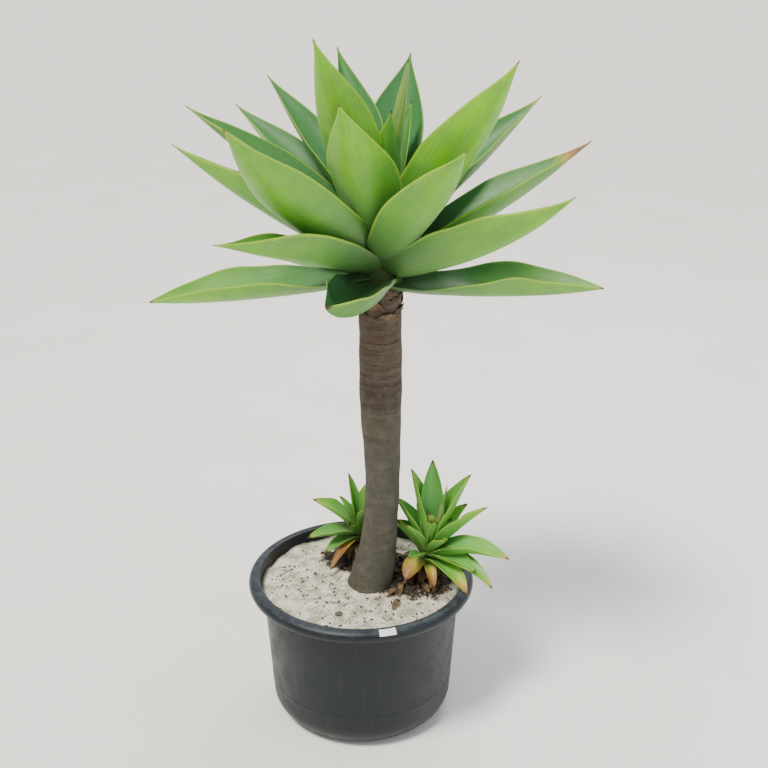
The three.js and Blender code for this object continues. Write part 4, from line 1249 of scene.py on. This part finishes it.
chip_wood = litter("broken_bark_chip", "#4a3827", "#21170f", 1.5 * MM)
twig_wood = litter("dry_twig", "#655744", "#33271b", 1.2 * MM)
field_stone = litter("weathered_stone", "#8d877b", "#5c574d", 1.4 * MM)
dead_leaf = dry_leaf("dead_leaf_scrap", "#7b6140", "#3a2a1b")
print("litter:", chip_wood.name, twig_wood.name, field_stone.name, dead_leaf.name)


# %% [markdown]
# ## Scattering
# A place is drawn by dice, kept off the trunk and the wall, and the piece is set at the ground's height
# there. Chips and scraps gather round the offsets; the dead leaves hang from the offsets' stems.
# %% Scatter the litter
def place_on_sand(dice, near=None, spread=0.05):
    """A random place on the sand, clear of the trunk and the wall; near keeps it round one spot."""
    while True:
        if near is None:
            r, a = 0.198 * math.sqrt(dice.random()), dice.uniform(0, 2 * math.pi)
            x, y = r * math.cos(a), r * math.sin(a)
        else:
            x, y = near[0] + dice.gauss(0, spread), near[1] + dice.gauss(0, spread)
        clear = math.hypot(x - trunk_foot[0], y - trunk_foot[1]) > 0.056
        if clear and math.hypot(x, y) < 0.2:
            return x, y


def stone(dice, x, y, size):
    """A lumpy pebble: rings of a squashed ball pushed about by noise."""
    flat, seed = dice.uniform(0.45, 0.75), dice.uniform(0, 50)
    rings = []
    for phi in np.linspace(0.12, math.pi - 0.12, 9):
        ring = []
        for theta in np.linspace(0, 2 * math.pi, 14, endpoint=False):
            way = Vector((math.sin(phi) * math.cos(theta), math.sin(phi) * math.sin(theta), math.cos(phi)))
            r = size * (1 + 0.28 * noise.noise(way * 1.4 + Vector((seed, 0, 0))))
            height = ground_height(x, y) + size * flat * 0.4 + way.z * r * flat
            ring.append((x + way.x * r, y + way.y * r, height))
        rings.append(ring)
    return np.array(rings)


def blade(dice, x, y, length, wide, curl, thick):
    """A scrap of leaf or bark: a small strip, pointed or torn at its ends, arched along its length."""
    turn, tilt = dice.uniform(0, 2 * math.pi), dice.uniform(-0.25, 0.25)
    ahead, side = Vector((math.cos(turn), math.sin(turn), 0)), Vector((-math.sin(turn), math.cos(turn), tilt))
    rings = []
    for s in np.linspace(0, 1, 7):
        half = wide / 2 * (0.35 + 0.65 * math.sin(math.pi * min(s + 0.12, 1)))
        arch = curl * math.sin(math.pi * s) + thick
        centre = Vector((x, y, 0)) + ahead * (s - 0.5) * length
        centre.z = ground_height(centre.x, centre.y) + arch
        upper = [centre + side * half * u + Vector((0, 0, curl * 0.5 * u * u)) for u in (-1, -0.5, 0, 0.5, 1)]
        rings.append(upper + [p - Vector((0, 0, thick)) for p in upper[::-1]])
    return np.array([[tuple(p) for p in ring] for ring in rings])


def twig(dice, x, y, length, radius):
    """A thin crooked stick that lies on the sand."""
    turn, bend = dice.uniform(0, 2 * math.pi), dice.uniform(-0.6, 0.6)
    rings = []
    here = Vector((x, y, 0))
    for k in range(9):
        s = k / 8
        direction = Vector((math.cos(turn + bend * s), math.sin(turn + bend * s), 0))
        across = Vector((-direction.y, direction.x, 0))
        centre = Vector((here.x, here.y, ground_height(here.x, here.y) + radius * 0.8 + 0.8 * MM))
        r = radius * (1 - 0.55 * s)
        angles = np.linspace(0, 5.2, 6)
        rings.append([centre + across * r * math.cos(a) + Vector((0, 0, r * math.sin(a))) for a in angles])
        here += direction * length / 8
    return np.array([[tuple(p) for p in ring] for ring in rings])


def hanging_leaf(dice, stem, share, turn):
    """A dead leaf that hangs from an offset's stem down to the litter, curled and narrow."""
    z = lerp(soil_top + 20 * MM, stem[-1, 0] - 20 * MM, share)
    x, y, radius = through(stem, z)[0]
    here = np.array([x, y, z]) + heading(turn, 0) * radius * 0.8
    length, wide, sag = dice.uniform(35, 75) * MM, dice.uniform(9, 17) * MM, dice.uniform(55, 90)
    side = np.array([math.cos(turn), math.sin(turn), 0])
    rings = []
    for s in np.linspace(0, 1, 9):
        rise = math.radians(-10 - sag * min(1, 1.6 * s))
        ahead = heading(turn + 0.7 * (wide / 0.013 - 1) * s, rise)
        half = wide / 2 * math.cos(s * math.pi / 2 * 0.94) ** 0.7
        up = np.cross(ahead, side)
        low = ground_height(here[0], here[1]) + 1.5 * MM
        centre = np.array([here[0], here[1], max(here[2], low)])
        curl = 0.55 * half
        upper = [centre + side * half * u + up * curl * u * u for u in (-1, -0.5, 0, 0.5, 1)]
        rings.append(upper + [p - up * 0.9 * MM for p in upper[::-1]])
        here = here + ahead * length / 8
    return np.array(rings)


dice = random.Random(5)
around_offsets = [*offset_spots, offset_spots[0], (0.1, 0.01), (0.13, -0.01)]
stones = [stone(dice, -0.045, -0.13, 8 * MM)]
stones += [stone(dice, *place_on_sand(dice), dice.uniform(2.0, 4.5) * MM) for _ in range(26)]
chips = [
    blade(dice, *place_on_sand(dice), dice.uniform(3, 9) * MM, dice.uniform(1.5, 4) * MM, 0.8 * MM, 1.2 * MM)
    for _ in range(150)
]
chips += [
    blade(dice, *place_on_sand(dice, dice.choice(around_offsets), 0.035), dice.uniform(6, 18) * MM,
          dice.uniform(3, 7) * MM, 1.5 * MM, 1.5 * MM)
    for _ in range(110)
]
twigs = [
    twig(dice, *place_on_sand(dice), dice.uniform(10, 32) * MM, dice.uniform(0.4, 0.9) * MM)
    for _ in range(60)
]
scraps = [
    blade(dice, *place_on_sand(dice, dice.choice(around_offsets), 0.04), dice.uniform(22, 48) * MM,
          dice.uniform(8, 15) * MM, dice.uniform(3, 8) * MM, 0.9 * MM)
    for _ in range(26)
]
skirts = []
for stem, count in zip(offset_stems.values(), (22, 16)):
    for k in range(count):
        skirts.append(hanging_leaf(dice, stem, dice.uniform(0.35, 0.95), math.radians(k * GOLDEN_ANGLE)))
many_lofts("dead_offset_leaves", skirts, dead_leaf, "sand")
many_lofts("sand_stones", stones, field_stone, "sand")
many_lofts("bark_chips", chips, chip_wood, "sand")
many_lofts("twigs", twigs, twig_wood, "sand")
many_lofts("dead_leaf_scraps", scraps, dead_leaf, "sand")
print("litter:", len(stones), "stones,", len(chips), "chips,", len(twigs), "twigs,", len(scraps), "scraps")

# %% [markdown]
# ## The studio
# The plant stands on a wide, pale, matt floor that runs far out, like a paper sweep in a studio. The light
# is soft: a wide sun from high on the left, which also keeps the far floor as bright as the near one, a
# weaker fill from the right, a high light from behind that rims the leaves, and a pale sky.
# %% Floor and lights
def studio_paper():
    material, tree, shader = new_material("studio_paper")
    place = add(tree, "TexCoord", {})["Object"]
    weave = add(tree, "TexNoise", {"Vector": place, "Scale": 1 / (300 * MM), "Detail": 3.0})[0]
    share = add(tree, "MapRange", {"Value": weave, "From Min": 0.3, "From Max": 0.7}, **SOFT_ENDS)[0]
    base = add(tree, "Mix", {0: share, 6: "#f3f2ef", 7: "#f6f6f4"}, **ON_COLOURS)[2]
    rough = add(
        tree, "MapRange", {"Value": weave, "From Min": 0.3, "From Max": 0.7, "To Min": 0.85, "To Max": 0.9},
        **SOFT_ENDS,
    )[0]
    connect(tree, shader, base, rough, weave, 0.1 * MM, 0.1)
    return material


floor_mesh = bpy.data.meshes.new("floor")
floor_shape = bmesh.new()
bmesh.ops.create_grid(floor_shape, x_segments=24, y_segments=24, size=40)
floor_shape.to_mesh(floor_mesh)
floor_shape.free()
floor = bpy.data.objects.new("floor", floor_mesh)
bpy.context.scene.collection.objects.link(floor)
floor.location.z = -0.5 * MM
floor.data.materials.append(studio_paper())
floor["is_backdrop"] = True


def soft_light(name, kind, place, power, size, tint):
    """A lamp that looks at the plant's middle; size is metres across, or for a sun the degrees it spans."""
    lamp = bpy.data.lights.new(name, kind)
    lamp.energy, lamp.color = power, colour(tint)[:3]
    if kind == "SUN":
        lamp.angle = math.radians(size)
    else:
        lamp.size = size
    made = bpy.data.objects.new(name, lamp)
    bpy.context.scene.collection.objects.link(made)
    made.location = place
    aim = Vector((0.03, 0, 0.75)) - made.location
    made.rotation_euler = aim.to_track_quat("-Z", "Y").to_euler()


soft_light("key_light", "SUN", (-1.3, -1.4, 4.2), 4.1, 16, "#fff8ea")
soft_light("fill_light", "AREA", (2.3, -1.8, 1.6), 22, 2.2, "#eef4ff")
soft_light("back_light", "AREA", (0.9, 2.1, 2.9), 40, 1.6, "#ffffff")
world = bpy.data.worlds.new("pale_sky")
world.use_nodes = True
world.node_tree.nodes["Background"].inputs["Color"].default_value = colour("#f2f5f8")
world.node_tree.nodes["Background"].inputs["Strength"].default_value = 0.7
bpy.context.scene.world = world

# %% [markdown]
# ## The two boxes side by side
# Both boxes, the frame's and the finished plant's, are printed side by side.
# %% Print the two boxes
sizes = {
    "cad": [list(corner) for corner in cad_box],
    "visual": [list(corner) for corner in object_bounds()],
}
for k in range(3):
    cad, visual = [sizes[which][1][k] - sizes[which][0][k] for which in ("cad", "visual")]
    print("XYZ"[k], "frame", round(cad / MM, 1), "mm, finished", round(visual / MM, 1), "mm")
